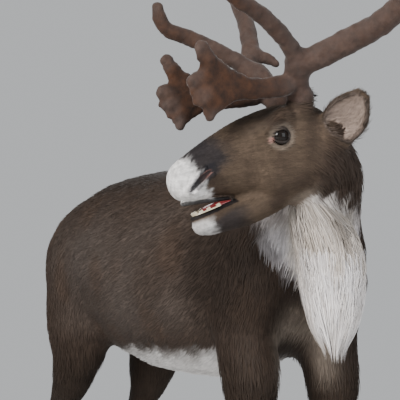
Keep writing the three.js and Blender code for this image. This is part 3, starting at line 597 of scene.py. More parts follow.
# %% Stations of the antlers
BURR = [[-92, 44, 30, 20, 20], [-95, 46, 45, 29, 28], [-97, 50, 56, 24, 23],
        [-103, 66, 84, 23, 22], [-106, 88, 112, 26, 24]]
BROW_TINE = [[-100, 62, 78, 19, 17], [-62, 66, 84, 23, 17], [-20, 71, 100, 22, 15],
             [20, 74, 120, 24, 14], [50, 76, 142, 34, 13], [80, 76, 160, 44, 12],
             [102, 74, 160, 42, 11]]
BROW_FINGERS = [
    [[62, 78, 180, 16, 12], [70, 80, 212, 17, 12], [71, 82, 240, 17, 11]],
    [[90, 75, 170, 20, 12], [112, 73, 188, 13, 12], [121, 72, 193, 10, 10]],
    [[96, 74, 150, 22, 12], [114, 72, 158, 14, 12], [124, 71, 160, 9, 9]],
    [[80, 75, 142, 20, 12], [108, 72, 130, 14, 11], [126, 70, 112, 8, 8]],
]
BEZ_TINE = [[-106, 86, 110, 20, 18], [-97, 104, 146, 20, 17], [-72, 128, 200, 19, 16],
            [-40, 148, 252, 18, 16], [-8, 158, 292, 17, 15], [-4, 161, 322, 16, 15],
            [-14, 163, 346, 13, 13]]
BEAMS = {
    "left": [[-104, 80, 104, 24, 22], [-140, 108, 102, 27, 25], [-192, 155, 101, 27, 25],
             [-240, 230, 106, 26, 24], [-285, 320, 140, 25, 23], [-318, 400, 226, 25, 22],
             [-316, 440, 340, 26, 20], [-262, 440, 452, 30, 18]],
    "right": [[-104, 80, 104, 22, 20], [-106, 122, 128, 23, 20], [-146, 147, 150, 22, 20],
              [-178, 170, 178, 21, 19], [-212, 204, 216, 20, 19], [-262, 266, 290, 21, 19],
              [-296, 320, 392, 23, 19], [-270, 346, 506, 27, 17]],
}
BACK_TINES = {
    "left": [[-306, 372, 196, 17, 16], [-352, 396, 232, 13, 13], [-384, 404, 280, 9, 9]],
    "right": [[-158, 140, 146, 17, 15], [-172, 124, 126, 13, 12], [-176, 114, 110, 9, 9]],
}
CROWN_POINTS = [
    [[0, 0, -30, 26, 17], [30, -6, 50, 40, 13], [66, -14, 120, 44, 12], [92, -22, 164, 30, 11]],
    [[26, -4, 60, 18, 12], [4, -2, 122, 14, 11], [-6, 0, 176, 8, 8]],
    [[72, -14, 130, 18, 12], [72, -16, 190, 13, 11], [66, -18, 236, 8, 8]],
    [[88, -20, 150, 18, 12], [128, -32, 188, 12, 10], [156, -40, 214, 7, 7]],
    [[56, -12, 76, 18, 12], [104, -24, 92, 13, 10], [142, -34, 104, 7, 7]],
]


SIDES = {"left": 1, "right": -1}


def antler_parts(name):
    top = np.array(BEAMS[name][-1][:3])
    crown = [[[*(top + s[:3]), *s[3:]] for s in point] for point in CROWN_POINTS]
    stations = [BURR, BROW_TINE, *BROW_FINGERS, BEZ_TINE, BEAMS[name], BACK_TINES[name], *crown]
    return [limb(mirrored(s, SIDES[name])) for s in stations]


def antler_net(name):
    parts = antler_parts(name)

    def distance(points):
        inner = to_head(points)
        gap = near(parts[0], inner)
        for part in parts[1:]:
            gap = blend(gap, near(part, inner), 13)
        return gap + 0.9 * ripple(points, 30, 5) + 0.5 * ripple(points, 13, 6) + 0.6

    rows = np.vstack([from_head(p["rows"][:, :3]) for p in parts])
    low, high = rows.min(0) - 56, rows.max(0) + 56
    cell = 4.2
    axes = [np.arange(low[n], high[n], cell) for n in range(3)]
    return net_over(distance, axes)


antler_nets = {name: antler_net(name) for name in BEAMS}
print("antler quads", [len(n[1]) for n in antler_nets.values()])

# %% [markdown]
# Hair lies the way it grew: backwards along the trunk and neck, down the legs, from the nose
# towards the ears, and out to the tip of an ear. For any place the nearest limbs vote on the
# direction. The same walk gives how far along and how far round a limb a place is, which lays
# the skin out flat on one sheet, a rectangle for each limb.

# %% Follow a limb
def follow(part, points):
    """Distance, share along, angle round and direction of a limb at some points."""
    best = np.full(len(points), FAR)
    along = np.zeros(len(points))
    angle = np.zeros(len(points))
    way = np.tile([1.0, 0, 0], (len(points), 1))
    last = len(part["rows"]) - 1
    for n in range(last):
        gap, share, arm, span = stretch(part, n, points)
        closer = gap < best
        ahead = span / np.linalg.norm(span)
        up = np.cross(ahead, part["side"])
        turn = np.arctan2(arm @ part["side"], arm @ up)
        best = np.where(closer, gap, best)
        along = np.where(closer, (n + share) / last, along)
        angle = np.where(closer, turn, angle)
        way[closer] = ahead
    return best, along, angle, way


REGIONS = [("trunk", trunk, False, -1), ("neck", neck, False, -1), ("tail", tail, False, 1)]
REGIONS += [("leg", leg["bone"], False, 1) for leg in legs]
REGIONS += [("skull", skull, True, -1), ("mandible", mandible, True, -1)]
REGIONS += [("ear", ear["outer"], True, 1) for ear in ears]
SHEET_COLUMNS = 4
SHEET_ROWS = 3


def nearest_region(points):
    inner = to_head(points)
    gaps = [near(part, inner if heady else points) for _, part, heady, _ in REGIONS]
    return np.argmin(gaps, axis=0)


def on_sheet(points, region, about=None):
    """Places on the flat sheet. Angles stay within half a turn of the angle given as about."""
    out = np.zeros((len(points), 2))
    angles = np.zeros(len(points))
    inner = to_head(points)
    for n, (_, part, heady, _) in enumerate(REGIONS):
        here = region == n
        if not here.any():
            continue
        _, along, angle, _ = follow(part, (inner if heady else points)[here])
        if about is not None:
            angle = about[here] + (angle - about[here] + math.pi) % (2 * math.pi) - math.pi
        column, row = n % SHEET_COLUMNS, n // SHEET_COLUMNS
        out[here, 0] = (column + 0.06 + 0.88 * along) / SHEET_COLUMNS
        out[here, 1] = (row + 0.5 + 0.38 * angle / math.pi) / SHEET_ROWS
        angles[here] = angle
    return out, angles


# %% Lie of the hair
def lie_at(points, normals):
    inner = to_head(points)
    total = np.zeros((len(points), 3))
    for name, part, heady, sign in REGIONS:
        gap, _, _, way = follow(part, inner if heady else points)
        way = way * sign
        if heady:
            way = way @ HEAD_AXES
        if name == "trunk":
            way = way + [0, 0, -0.45]
        if name == "neck":
            way = way + [0, 0, -0.7]
        total += way * np.exp(-np.clip(gap, -20, 400) / 16)[:, None]
    total += 0.10 * np.stack([ripple(points, 120, s) for s in (21, 22, 23)], -1) * \
        np.linalg.norm(total, axis=1, keepdims=True)
    total -= normals * (total * normals).sum(1, keepdims=True)
    return unit(total)


# %% [markdown]
# Colour follows the animal: grey-brown body, dark shoulder and legs, white belly edge and throat,
# pale nose and chin, a light ring round the eye, and dark bare skin at lids, lips and nostrils.
# Light is painted in too: a paler painted sheen on the ribs, painted shade that turns the white on
# the neck below the jaw a darker bluish white, a painted sheen on the front rim of each nostril and
# painted shade inside its slit. The colour is worked out from places on the body, so skin and hair share
# it.
# Painted textures would give finer control, but would have to be made and kept as image files.

# %% Paints of the coat
PAINTS = {
    "brown": (0.041, 0.028, 0.021), "grey": (0.074, 0.059, 0.051), "dark": (0.013, 0.009, 0.007),
    "warm": (0.056, 0.034, 0.022), "face": (0.080, 0.056, 0.039), "leg": (0.024, 0.0165, 0.012),
    "cream": (0.70, 0.65, 0.60), "white": (0.82, 0.80, 0.79), "cool": (0.64, 0.62, 0.65),
    "pale": (0.27, 0.225, 0.185), "inner": (0.33, 0.255, 0.215), "pink": (0.40, 0.20, 0.17),
    "mouth": (0.20, 0.026, 0.028), "black": (0.008, 0.007, 0.008), "slate": (0.017, 0.016, 0.019),
}
PAINTS = {name: np.array(paint) for name, paint in PAINTS.items()}


def painted(points, base, *layers):
    """A base paint with layers over it. Each layer is a paint and how much of it covers a place."""
    colour = np.tile(PAINTS[base], (len(points), 1))
    for paint, share in layers:
        colour = colour + (PAINTS[paint] - colour) * np.clip(share, 0, 1)[:, None]
    return colour


def nearest_of(parts, points):
    return np.min([near(part, points) for part in parts], axis=0)


# %% Colours of the body
def body_colour(points):
    x, y, z = points.T
    ribs = fade(z, 620, 740) * fade(z, 1040, 900) * fade(x, -560, -380) * fade(x, 330, 180)
    shoulder = np.linalg.norm((points - [395, 0, 800]) * [1, 0.2, 0.8], axis=1)
    leg_gap = nearest_of([leg["bone"] for leg in legs], points)
    belly = fade(z + 10 * ripple(points, 60, 12), 632, 585) * fade(np.abs(x + 20), 400, 330)
    rump = fade(x, -590, -640) * fade(np.abs(y), 90, 40) * fade(z, 700, 780)
    brisket = fade(x, 400, 470) * fade(np.abs(y), 110, 40) * fade(z, 760, 640)
    mane_gap = near(mane_form, points)
    throat = fade(z + 14 * ripple(points, 50, 13), 950, 905)
    edge = fade(mane_gap + 0.5 * (945 - z) + 12 * ripple(points, 45, 16), 128, 84)
    return painted(
        points, "brown",
        # painted sheen: the paler grey over the ribs stands for light glancing off the flank
        ("grey", ribs * (0.6 + 0.35 * ripple(points, 260, 7))),
        ("warm", 0.35 * fade(ripple(points, 170, 9), 0.1, 1.0)),
        ("dark", 0.65 * fade(shoulder, 210, 60)),
        ("dark", 0.6 * fade(z, 980, 1080) * fade(x, 460, 300)),
        ("leg", 0.85 * fade(z, 700, 520) * fade(leg_gap, 60, 0)),
        ("white", 0.86 * belly * fade(leg_gap, 5, 45)),
        ("pale", 0.5 * fade(z, 118, 70)),
        ("white", 0.8 * rump),
        ("pale", 0.6 * brisket * fade(z, 520, 600)),
        # painted shade: the neck side below the jaw is white; painting it a darker, bluish white adds
        # painted shade
        ("cool", 0.9 * edge * throat),
        ("cream", fade(mane_gap, 34, 8) * throat),
        ("pale", 0.7 * fade(z, 850, 925) * throat * edge))


# %% Colours of the head
def head_share(inner, start, end):
    """How much a place belongs to the head, with no neck before the eyes."""
    gap = np.minimum(near(skull, inner), near(mandible, inner))
    return fade(gap - 30 * fade(inner[:, 0], 10, 70), start, end)


def face_colour(inner):
    x, _, z = inner.T
    tip = x - 0.6 * np.minimum(z, -12) + 6 * ripple(inner, 26, 15) + 4 * ripple(inner, 9, 19)
    nose = fade(tip, 189, 211) * fade(z - mouth_top(x), -2, 2)
    frost = 0.80 + 0.14 * ripple(inner, 12, 17) + 0.10 * ripple(inner, 5, 28)
    chin = frost * fade(x + 6 * ripple(inner, 18, 18), 200, 228) * fade(mouth_low(x) - z, 8, 20)
    slit = nearest_of(nostrils, inner)
    opening = mouth_gap(inner)
    return painted(
        inner, "face",
        ("brown", 0.6 * fade(ripple(inner, 70, 14), -0.2, 0.9)),
        ("dark", 0.5 * fade(z, 20, 50) * fade(x, 140, 20)),
        ("dark", 0.35 * fade(x, -40, -110) * fade(z, -120, -20)),
        ("pale", 0.5 * fade(z, -118, -140) * fade(x, 70, 10)),
        ("slate", 0.85 * fade(x + 6 * ripple(inner, 30, 26), 92, 140) * fade(z, -2, 26)),
        ("slate", 0.7 * fade(x + 8 * ripple(inner, 35, 27), 118, 168) * fade(z, -70, -84)),
        ("white", frost * nose),
        ("white", 0.7 * chin),
        ("dark", 0.65 * fade(spot_gap(inner, OVER_EYE), 30, 12)),
        ("pale", 0.34 * fade(spot_gap(inner, EYE) + 2 * ripple(inner, 12, 20), 36, 28)),
        ("black", 0.9 * fade(nearest_of(lids, inner), 2.5, 0.3)),
        ("pink", 0.6 * fade(spot_gap(inner, EYE_CORNER), 9, 4)),
        ("slate", 0.8 * fade(slit + 0.16 * (x - 200) + 3 * ripple(inner, 11, 21), 13, 4)),
        # painted sheen: a bluish-white glint on the front rim of the nostril
        ("cool", 0.5 * fade(slit, 3.4, 2.2) * fade(x, 200, 216)),
        ("pink", 0.35 * fade(slit, 3.2, 2.2) * fade(x, 208, 192)),
        # painted shade: the inside of the sunk nostril slit is painted black
        ("black", 0.9 * fade(slit, 1.9, 0.7)),
        ("black", 0.92 * fade(opening + 0.8 * ripple(inner, 15, 22), 9.5, 6.5)),
        ("mouth", fade(opening, 1.6, 0.6) * fade(nearest_of(lips, inner), 0.5, 2.5)))


def cup_gap(inner):
    return nearest_of([ear["inner"] for ear in ears], inner)


def ear_colour(inner):
    cup = cup_gap(inner)
    outside = nearest_of([ear["outer"] for ear in ears], inner)
    return painted(
        inner, "face",
        ("inner", 0.85 * fade(cup + 1.5 * ripple(inner, 18, 23), 3.5, 0.5)),
        ("dark", 0.75 * (fade(cup, 6, 2) * fade(outside, -5, -0.5))))


def ear_share(inner):
    return fade(ear_distance(inner), 5, 2) * fade(near(skull, inner), 2, 12)


def coat_colour(points):
    """Base colour of skin and hair at places on the body."""
    inner = to_head(points)
    colour = body_colour(points)
    on_head = head_share(inner, 26, 6)
    colour += (face_colour(inner) - colour) * on_head[:, None]
    colour += (ear_colour(inner) - colour) * ear_share(inner)[:, None]
    grain = 1 + 0.13 * ripple(points, 8, 24) + 0.09 * ripple(points, 24, 25)
    return colour * grain[:, None]


def bare_skin(points):
    """How bare and moist the skin is: lids, nostrils, lips and the inside of the mouth."""
    inner = to_head(points)
    bare = fade(nearest_of(lids, inner), 2.2, 0.6)
    bare = np.maximum(bare, fade(nearest_of(nostrils, inner), 2.6, 1.2))
    bare = np.maximum(bare, fade(spot_gap(inner, EYE), 23.5, 21.5))
    on_head = head_share(inner, 20, 10)
    return np.maximum(bare, fade(mouth_gap(inner), 3, 1.6) * on_head)


# %% [markdown]
# Every surface gets a node material. Hair streaks and mottling are wanted by several of them, so
# each is a small shader group with named inputs, built once and reused with other values. The
# shader itself stays in the material, where the export can read it.

# %% Shader groups
def group(name, **inputs):
    """A shader group with named inputs, which gives a colour and a height."""
    tree = bpy.data.node_groups.new(name, "ShaderNodeTree")
    for label, value in inputs.items():
        kind = "NodeSocketFloat" if isinstance(value, float) else "NodeSocketColor"
        tree.interface.new_socket(label, in_out="INPUT", socket_type=kind).default_value = value
    tree.interface.new_socket("Color", in_out="OUTPUT", socket_type="NodeSocketColor")
    tree.interface.new_socket("Height", in_out="OUTPUT", socket_type="NodeSocketFloat")
    return tree, tree.nodes.new("NodeGroupInput").outputs


def node(tree, kind, inputs=None, **settings):
    """A node with its settings. An input takes a value, or the socket that it is linked from."""
    made = tree.nodes.new(kind)
    for key, value in settings.items():
        setattr(made, key, value)
    for key, value in (inputs or {}).items():
        if isinstance(value, bpy.types.NodeSocket):
            tree.links.new(value, made.inputs[key])
        else:
            made.inputs[key].default_value = value
    return made


def sums(tree, operation, *terms, **settings):
    """The result of a sum whose terms are values or sockets."""
    return node(tree, "ShaderNodeMath", dict(enumerate(terms)), operation=operation,
                **settings).outputs["Value"]


def streaks_group():
    """Fine light and dark streaks along the lie of the hair, from the flat sheet of the skin."""
    tree, given = group("hair_streaks", Color=(0.1, 0.1, 0.1, 1), Along=60.0, Across=900.0, Contrast=0.5)
    sheet = node(tree, "ShaderNodeUVMap", uv_map="OFBake").outputs["UV"]
    scale = node(tree, "ShaderNodeCombineXYZ", {"X": given["Along"], "Y": given["Across"]})
    spread = node(tree, "ShaderNodeVectorMath", {0: sheet, 1: scale.outputs["Vector"]},
                  operation="MULTIPLY")
    streak = {"Vector": spread.outputs["Vector"], "Scale": 1.0, "Detail": 3.0}
    noise = node(tree, "ShaderNodeTexNoise", streak).outputs["Fac"]
    place = node(tree, "ShaderNodeTexCoord").outputs["Object"]
    patch = node(tree, "ShaderNodeTexNoise", {"Vector": place, "Scale": 26.0, "Detail": 4.0})
    centred = sums(tree, "SUBTRACT", sums(tree, "ADD", noise, patch.outputs["Fac"]), 1.0)
    strength = sums(tree, "MULTIPLY_ADD", centred, given["Contrast"], 1.0)
    shade = node(tree, "ShaderNodeVectorMath", {0: given["Color"], "Scale": strength}, operation="SCALE")
    node(tree, "NodeGroupOutput", {"Color": shade.outputs["Vector"], "Height": noise})
    return tree


def mottle_group():
    """Irregular patches between two colours, in the object's own space."""
    tree, given = group("mottle", First=(0.1, 0.1, 0.1, 1), Second=(0.2, 0.2, 0.2, 1), Scale=30.0,
                        Balance=0.5)
    place = node(tree, "ShaderNodeTexCoord").outputs["Object"]
    cloud = {"Vector": place, "Scale": given["Scale"], "Detail": 6.0, "Roughness": 0.62}
    noise = node(tree, "ShaderNodeTexNoise", cloud).outputs["Fac"]
    shift = sums(tree, "SUBTRACT", noise, given["Balance"])
    sharpen = sums(tree, "MULTIPLY_ADD", shift, 3.0, 0.5, use_clamp=True)
    mix = node(tree, "ShaderNodeMix", {"Factor": sharpen, "A": given["First"], "B": given["Second"]},
               data_type="RGBA")
    node(tree, "NodeGroupOutput", {"Color": mix.outputs["Result"], "Height": noise})
    return tree


STREAKS = streaks_group()
MOTTLE = mottle_group()
print("groups", [g.name for g in bpy.data.node_groups])


# %% Materials of hair and skin
def material(name, roughness, **constants):
    made = bpy.data.materials.new(name)
    made.use_nodes = True
    shader = made.node_tree.nodes["Principled BSDF"]
    shader.inputs["Roughness"].default_value = roughness
    for label, value in constants.items():
        shader.inputs[label.replace("_", " ")].default_value = value
    return made, made.node_tree, shader


def bumped(tree, shader, height, strength, distance):
    bump = node(tree, "ShaderNodeBump", {"Strength": strength, "Distance": distance, "Height": height})
    tree.links.new(bump.outputs["Normal"], shader.inputs["Normal"])


WET_ROUGHNESS = 0.32


def hair_material(name, roughness, contrast, strength, **constants):
    made, tree, shader = material(name, roughness, **constants)
    paint = node(tree, "ShaderNodeAttribute", attribute_name="coat_colour").outputs["Color"]
    streaks = node(tree, "ShaderNodeGroup", {"Contrast": contrast, "Color": paint}, node_tree=STREAKS)
    tree.links.new(streaks.outputs["Color"], shader.inputs["Base Color"])
    bare = node(tree, "ShaderNodeAttribute", attribute_name="bare").outputs["Fac"]
    rough = node(tree, "ShaderNodeMapRange", {"Value": bare, "To Min": roughness, "To Max": WET_ROUGHNESS})
    tree.links.new(rough.outputs["Result"], shader.inputs["Roughness"])
    bumped(tree, shader, streaks.outputs["Height"], strength, 0.0016)
    return made


skin_finish = hair_material("coat_skin", 0.75, 0.8, 0.5, Specular_IOR_Level=0.12)
tuft_finish = hair_material("coat_tufts", 0.60, 0.4, 0.12, Specular_IOR_Level=0.14)
mane_finish = hair_material("mane_hair", 0.55, 0.3, 0.1, Specular_IOR_Level=0.2)

# %% [markdown]
# Velvet is short plush skin over growing bone: reddish brown at the brow, greyer along the beams.
# Claws are horn with growth rings, eyes are wet and almost black, teeth small and ivory. Each of
# them mixes two near colours in patches, with a fine bump of its own, so none looks like plastic.

# %% Materials of velvet, horn, eye, tooth and tongue
def patches(tree, first=None, second=None, scale=30, balance=0.5):
    """Colour and height of a mottle, from two colours, the scale of its patches and their balance."""
    colours = {"First": (*first, 1), "Second": (*second, 1)} if first else {}
    return node(tree, "ShaderNodeGroup", {"Scale": scale, "Balance": balance, **colours},
                node_tree=MOTTLE).outputs


def mottled(name, first, second, scale, balance, roughness, bump=None, **constants):
    """A material of two mottled colours. The bump is its strength and distance."""
    made, tree, shader = material(name, roughness, **constants)
    mottle = patches(tree, first, second, scale, balance)
    tree.links.new(mottle["Color"], shader.inputs["Base Color"])
    if bump:
        bumped(tree, shader, mottle["Height"], *bump)
    return made


def velvet_material():
    made, tree, shader = material("velvet", 0.8, Sheen_Weight=0.15, Sheen_Roughness=0.4,
                                  Specular_IOR_Level=0.2)
    warm = patches(tree, (0.018, 0.009, 0.006), (0.052, 0.022, 0.011), 40)["Color"]
    cool = patches(tree, (0.052, 0.037, 0.032), (0.092, 0.066, 0.057), 55)["Color"]
    share = node(tree, "ShaderNodeAttribute", attribute_name="cool").outputs["Fac"]
    mix = node(tree, "ShaderNodeMix", {"Factor": share, "A": warm, "B": cool}, data_type="RGBA")
    tree.links.new(mix.outputs["Result"], shader.inputs["Base Color"])
    bumped(tree, shader, patches(tree, scale=190)["Height"], 0.6, 0.0016)
    return made


def hoof_material():
    made = mottled("claw_horn", (0.022, 0.018, 0.016), (0.060, 0.050, 0.043), 60, 0.6, 0.42)
    tree = made.node_tree
    place = node(tree, "ShaderNodeTexCoord").outputs["Object"]
    rings = node(tree, "ShaderNodeTexWave", {"Vector": place, "Scale": 70, "Distortion": 2.5},
                 bands_direction="Z")
    bumped(tree, tree.nodes["Principled BSDF"], rings.outputs["Fac"], 0.35, 0.0012)
    return made


velvet = velvet_material()
claw_horn = hoof_material()
ivory = mottled("tooth_ivory", (0.52, 0.46, 0.34), (0.34, 0.27, 0.18), 160, 0.62, 0.3, (0.2, 0.0004))
flesh = mottled("tongue_flesh", (0.22, 0.03, 0.032), (0.15, 0.018, 0.02), 220, 0.5, 0.3, (0.5, 0.0006))
print("materials", len(bpy.data.materials))


# %% [markdown]
# Meshes are filled straight from number arrays, which is far quicker than adding faces one by one
# when a piece has a hundred thousand of them.

# %% Make a mesh from arrays
def placed(name, data):
    thing = bpy.data.objects.new(name, data)
    bpy.context.scene.collection.objects.link(thing)
    return thing


def mesh_piece(name, points, faces, finish, per_point=None, sheet=None):
    """A smooth mesh piece that rides on the animal. Faces all have the same number of corners."""
    mesh = bpy.data.meshes.new(name)
    size = faces.shape[1]
    mesh.vertices.add(len(points))
    mesh.vertices.foreach_set("co", to_frame(points).astype(np.float32).ravel())
    mesh.loops.add(faces.size)
    mesh.loops.foreach_set("vertex_index", faces.astype(np.int32).ravel())
    mesh.polygons.add(len(faces))
    mesh.polygons.foreach_set("loop_start", np.arange(0, faces.size, size, dtype=np.int32))
    mesh.update(calc_edges=True)
    mesh.polygons.foreach_set("use_smooth", np.ones(len(faces), bool))
    for label, values in (per_point or {}).items():
        if values.ndim == 2:
            layer = mesh.color_attributes.new(label, "FLOAT_COLOR", "POINT")
            layer.data.foreach_set("color", np.column_stack([values, np.ones(len(values))]).ravel())
        else:
            mesh.attributes.new(label, "FLOAT", "POINT").data.foreach_set("value", values)
    if sheet is not None:
        mesh.uv_layers.new(name="OFBake").data.foreach_set("uv", sheet.astype(np.float32).ravel())
    mesh.materials.append(finish)
    piece = placed(name, mesh)
    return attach(piece, "root")


# %% The skin as one piece
centres = skin_points[skin_quads].mean(1)
skin_region = in_shares(nearest_region, centres)
_, centre_angle = on_sheet(centres, skin_region)
corner_points = skin_points[skin_quads.ravel()]
skin_sheet, _ = on_sheet(corner_points, np.repeat(skin_region, 4), np.repeat(centre_angle, 4))
skin_colour = in_shares(coat_colour, skin_points)
skin_bare = in_shares(bare_skin, skin_points)
skin = mesh_piece("reindeer_skin", skin_points, skin_quads, skin_finish,
                  {"coat_colour": skin_colour, "bare": skin_bare}, skin_sheet)
FLESH = ("torso", "neck", "head", "lower_jaw", "ear", "tail", "foreleg", "hindleg")
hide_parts(*[n for n in frame["nodes"] if n.startswith(FLESH)])
print("skin regions", np.bincount(skin_region))

# %% The antlers
for name, (points, quads) in antler_nets.items():
    inner = to_head(points)
    ends = np.array([s[-1][:3] for s in [*BROW_FINGERS, BEZ_TINE, BACK_TINES[name]]])
    top = np.array(BEAMS[name][-1][:3])
    ends = np.vstack([ends, [top + point[-1][:3] for point in CROWN_POINTS]])
    ends = ends * [1, SIDES[name], 1]
    gap = np.min([np.linalg.norm(inner - end, axis=1) for end in ends], axis=0)
    tip = 0.6 * fade(gap + 10 * ripple(inner, 60, 31), 34, 6)
    cool = np.maximum(tip, 0.55 * fade(inner[:, 0] + 25 * ripple(inner, 90, 32), 40, -90))
    antler = mesh_piece("antler_velvet_" + name, points, quads, velvet, {"cool": cool})
    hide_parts(*[n for n in frame["nodes"] if n.startswith("antler_" + name)])

# %% [markdown]
# A tuft is a thin bent spike with three sides, rooted in the skin, lifted a little and curving
# back along the body. Tens of thousands of them overlap like thatch. Particle hair looks finer in
# a still, but it is lost when the model leaves Blender, so each tuft is real mesh here.

# %% Spikes along given routes
def spikes(name, routes, widths, flats, outward, colours, roots, finish, slot):
    """Three-sided tapered spikes. Routes are (n, k, 3), widths (n, k), flats the way across.
    They are shaded mostly as the surface below them, so that a coat looks sleek."""
    count, steps = routes.shape[:2]
    ahead = unit(np.gradient(routes, axis=1))
    flat = unit(flats[:, None, :] - ahead * (ahead * flats[:, None, :]).sum(2, keepdims=True))
    up = np.cross(ahead, flat)
    half = widths[:, :, None] / 2
    ring = np.stack([routes - flat * half, routes + flat * half, routes + up * half * 0.7], 2)
    body = ring[:, :steps - 1].reshape(count, -1, 3)
    points = np.concatenate([body, routes[:, -1:]], 1)
    per = points.shape[1]
    faces = [[0, 2, 1]]
    for k in range(steps - 2):
        for s in range(3):
            a, b = 3 * k + s, 3 * k + (s + 1) % 3
            faces += [[a, b, b + 3], [a, b + 3, a + 3]]
    for s in range(3):
        faces.append([3 * (steps - 2) + s, 3 * (steps - 2) + (s + 1) % 3, per - 1])
    faces = np.array(faces)
    all_faces = (faces[None] + per * np.arange(count)[:, None, None]).reshape(-1, 3)
    level = np.append(np.repeat(np.arange(steps - 1), 3), steps - 1) / (steps - 1)
    shade = 0.84 + 0.24 * level
    colour = (colours[:, None, :] * shade[None, :, None]).reshape(-1, 3)
    across = np.append(np.tile([-1.0, 1.0, 0.0], steps - 1), 0.0)
    patch = np.stack([0.003 * (level - 0.5), 0.0014 * across], -1)
    sheet = roots[:, None, None, :] + patch[faces][None]
    piece = mesh_piece(name, points.reshape(-1, 3), all_faces, finish,
                       {"coat_colour": colour}, sheet.reshape(-1, 2))
    facing = unit(outward[:, None, :] + 0.45 * across[None, :, None] * flats[:, None, :])
    piece.data.normals_split_custom_set_from_vertices(facing.reshape(-1, 3))
    return piece


# %% How long and wide the hair is
def tuft_shape(points):
    """Length, width and lift of a tuft at places on the body, and how many of them it takes."""
    inner = to_head(points)
    z = points[:, 2]
    length = 13 + 13 * fade(z, 420, 640)
    width = 1.3 + 0.8 * fade(z, 420, 640)
    length -= 4 * fade(z, 330, 150)
    length += 12 * fade(z, 640, 580) * fade(z, 500, 560)
    mane_gap = near(mane_form, points)
    length += 10 * fade(mane_gap, 45, 15) * fade(z, 955, 900)
    on_neck = fade(near(neck, points), 30, 6)
    length += 4 * on_neck
    on_tail = fade(near(tail, points), 16, 6)
    length += 22 * on_tail
    on_head = head_share(inner, 24, 6)
    face_length = 9 - 4 * fade(inner[:, 0], 120, 200)
    length += (face_length - length) * on_head
    width += (1.15 - 0.3 * fade(inner[:, 0], 120, 200) - width) * on_head
    on_ear = ear_share(inner)
    in_ear = on_ear * fade(cup_gap(inner), 5, 2)
    length += (9 + 9 * in_ear - length) * on_ear
    width += (1.1 - width) * on_ear
    lift = 0.15 + 0.10 * on_tail + 0.03 * fade(mane_gap, 70, 20) + 0.45 * in_ear
    number = (1 - fade(bare_skin(points), 0.05, 0.3)) / (0.95 * length * width)
    corner = np.hypot(inner[:, 0] - MOUTH_CORNER[0], inner[:, 2] - MOUTH_CORNER[1])
    number = number * (1 - on_head * fade(corner, 15, 7))
    return np.column_stack([length, width, lift, number])


# %% Scatter roots over the skin
def scattered(share):
    """Roots, normals and shapes of tufts, at random places of the faces that carry them."""
    quads = skin_points[skin_quads]
    one = np.cross(quads[:, 1] - quads[:, 0], quads[:, 2] - quads[:, 0])
    two = np.cross(quads[:, 2] - quads[:, 0], quads[:, 3] - quads[:, 0])
    area = (np.linalg.norm(one, axis=1) + np.linalg.norm(two, axis=1)) / 2
    shape = in_shares(tuft_shape, centres)
    wanted = area * shape[:, 3] * share
    number = np.floor(wanted + rng.random(len(wanted))).astype(int)
    face = np.repeat(np.arange(len(number)), number)
    u, v = rng.random((2, len(face)))
    a, b, c, d = [quads[face, n] for n in range(4)]
    roots = (a * ((1 - u) * (1 - v))[:, None] + b * (u * (1 - v))[:, None]
             + c * (u * v)[:, None] + d * ((1 - u) * v)[:, None])
    return roots, unit((one + two)[face]), face, shape[face]


roots, normals, root_face, shapes = scattered(1.0)
print("tufts", len(roots))

# %% Grow the tufts
lie = in_shares(lambda part: lie_at(part[:, :3], part[:, 3:]), np.hstack([roots, normals]))
across = np.cross(normals, lie)
length = shapes[:, 0] * (0.75 + 0.5 * rng.random(len(roots)))
width = shapes[:, 1] * (0.75 + 0.5 * rng.random(len(roots)))
stray = rng.normal(0, 0.10, len(roots))
lie = lie * np.cos(stray)[:, None] + across * np.sin(stray)[:, None]
lift = shapes[:, 2] * (0.7 + 0.6 * rng.random(len(roots)))
middle = roots + (lie * np.cos(lift)[:, None] + normals * np.sin(lift)[:, None]) * (0.5 * length)[:, None]
end = middle + (lie + normals * (0.15 * lift)[:, None]) * (0.5 * length)[:, None]
start = roots - normals * 0.6
tuft_routes = np.stack([start, middle, end], 1)
tuft_widths = np.column_stack([width, 0.8 * width, 0 * width])
tuft_colour = in_shares(coat_colour, roots)
tuft_colour = tuft_colour * (0.91 + 0.18 * rng.random(len(roots)))[:, None]
tuft_sheet, _ = on_sheet(roots, skin_region[root_face])
PER_PIECE = 18000
order = np.argsort(skin_region[root_face], kind="stable")
for n in range(0, len(order), PER_PIECE):
    pick = order[n:n + PER_PIECE]
    spikes(f"coat_tufts_{n // PER_PIECE + 1}", tuft_routes[pick], tuft_widths[pick], across[pick],
           normals[pick], tuft_colour[pick], tuft_sheet[pick], tuft_finish, "coat")
print("coat pieces", math.ceil(len(order) / PER_PIECE), "triangles", 10 * len(order))

# %% [markdown]
# The mane is long soft hair that gathers into locks. Each lock has a root on the throat and a line
# down the hanging form, and its hairs draw together towards the tip. Cloth or hair simulation could
# hang it too. Drawing it along the form keeps it where the CAD solid says, lock over lock.

# %% Places on the hanging form
def on_mane(z, angle, share):
    rows = mane_form["rows"][::-1]
    column = [np.interp(z, rows[:, 2], rows[:, n]) for n in (0, 1, 3, 4)]
    side = mane_form["side"]
    ahead = np.array([side[1], -side[0], 0])
    place = np.stack([column[0], column[1], z], -1)
    place = place + ahead * (np.cos(angle) * column[2] * share)[..., None]
    return place + side * (np.sin(angle) * column[3] * share)[..., None]


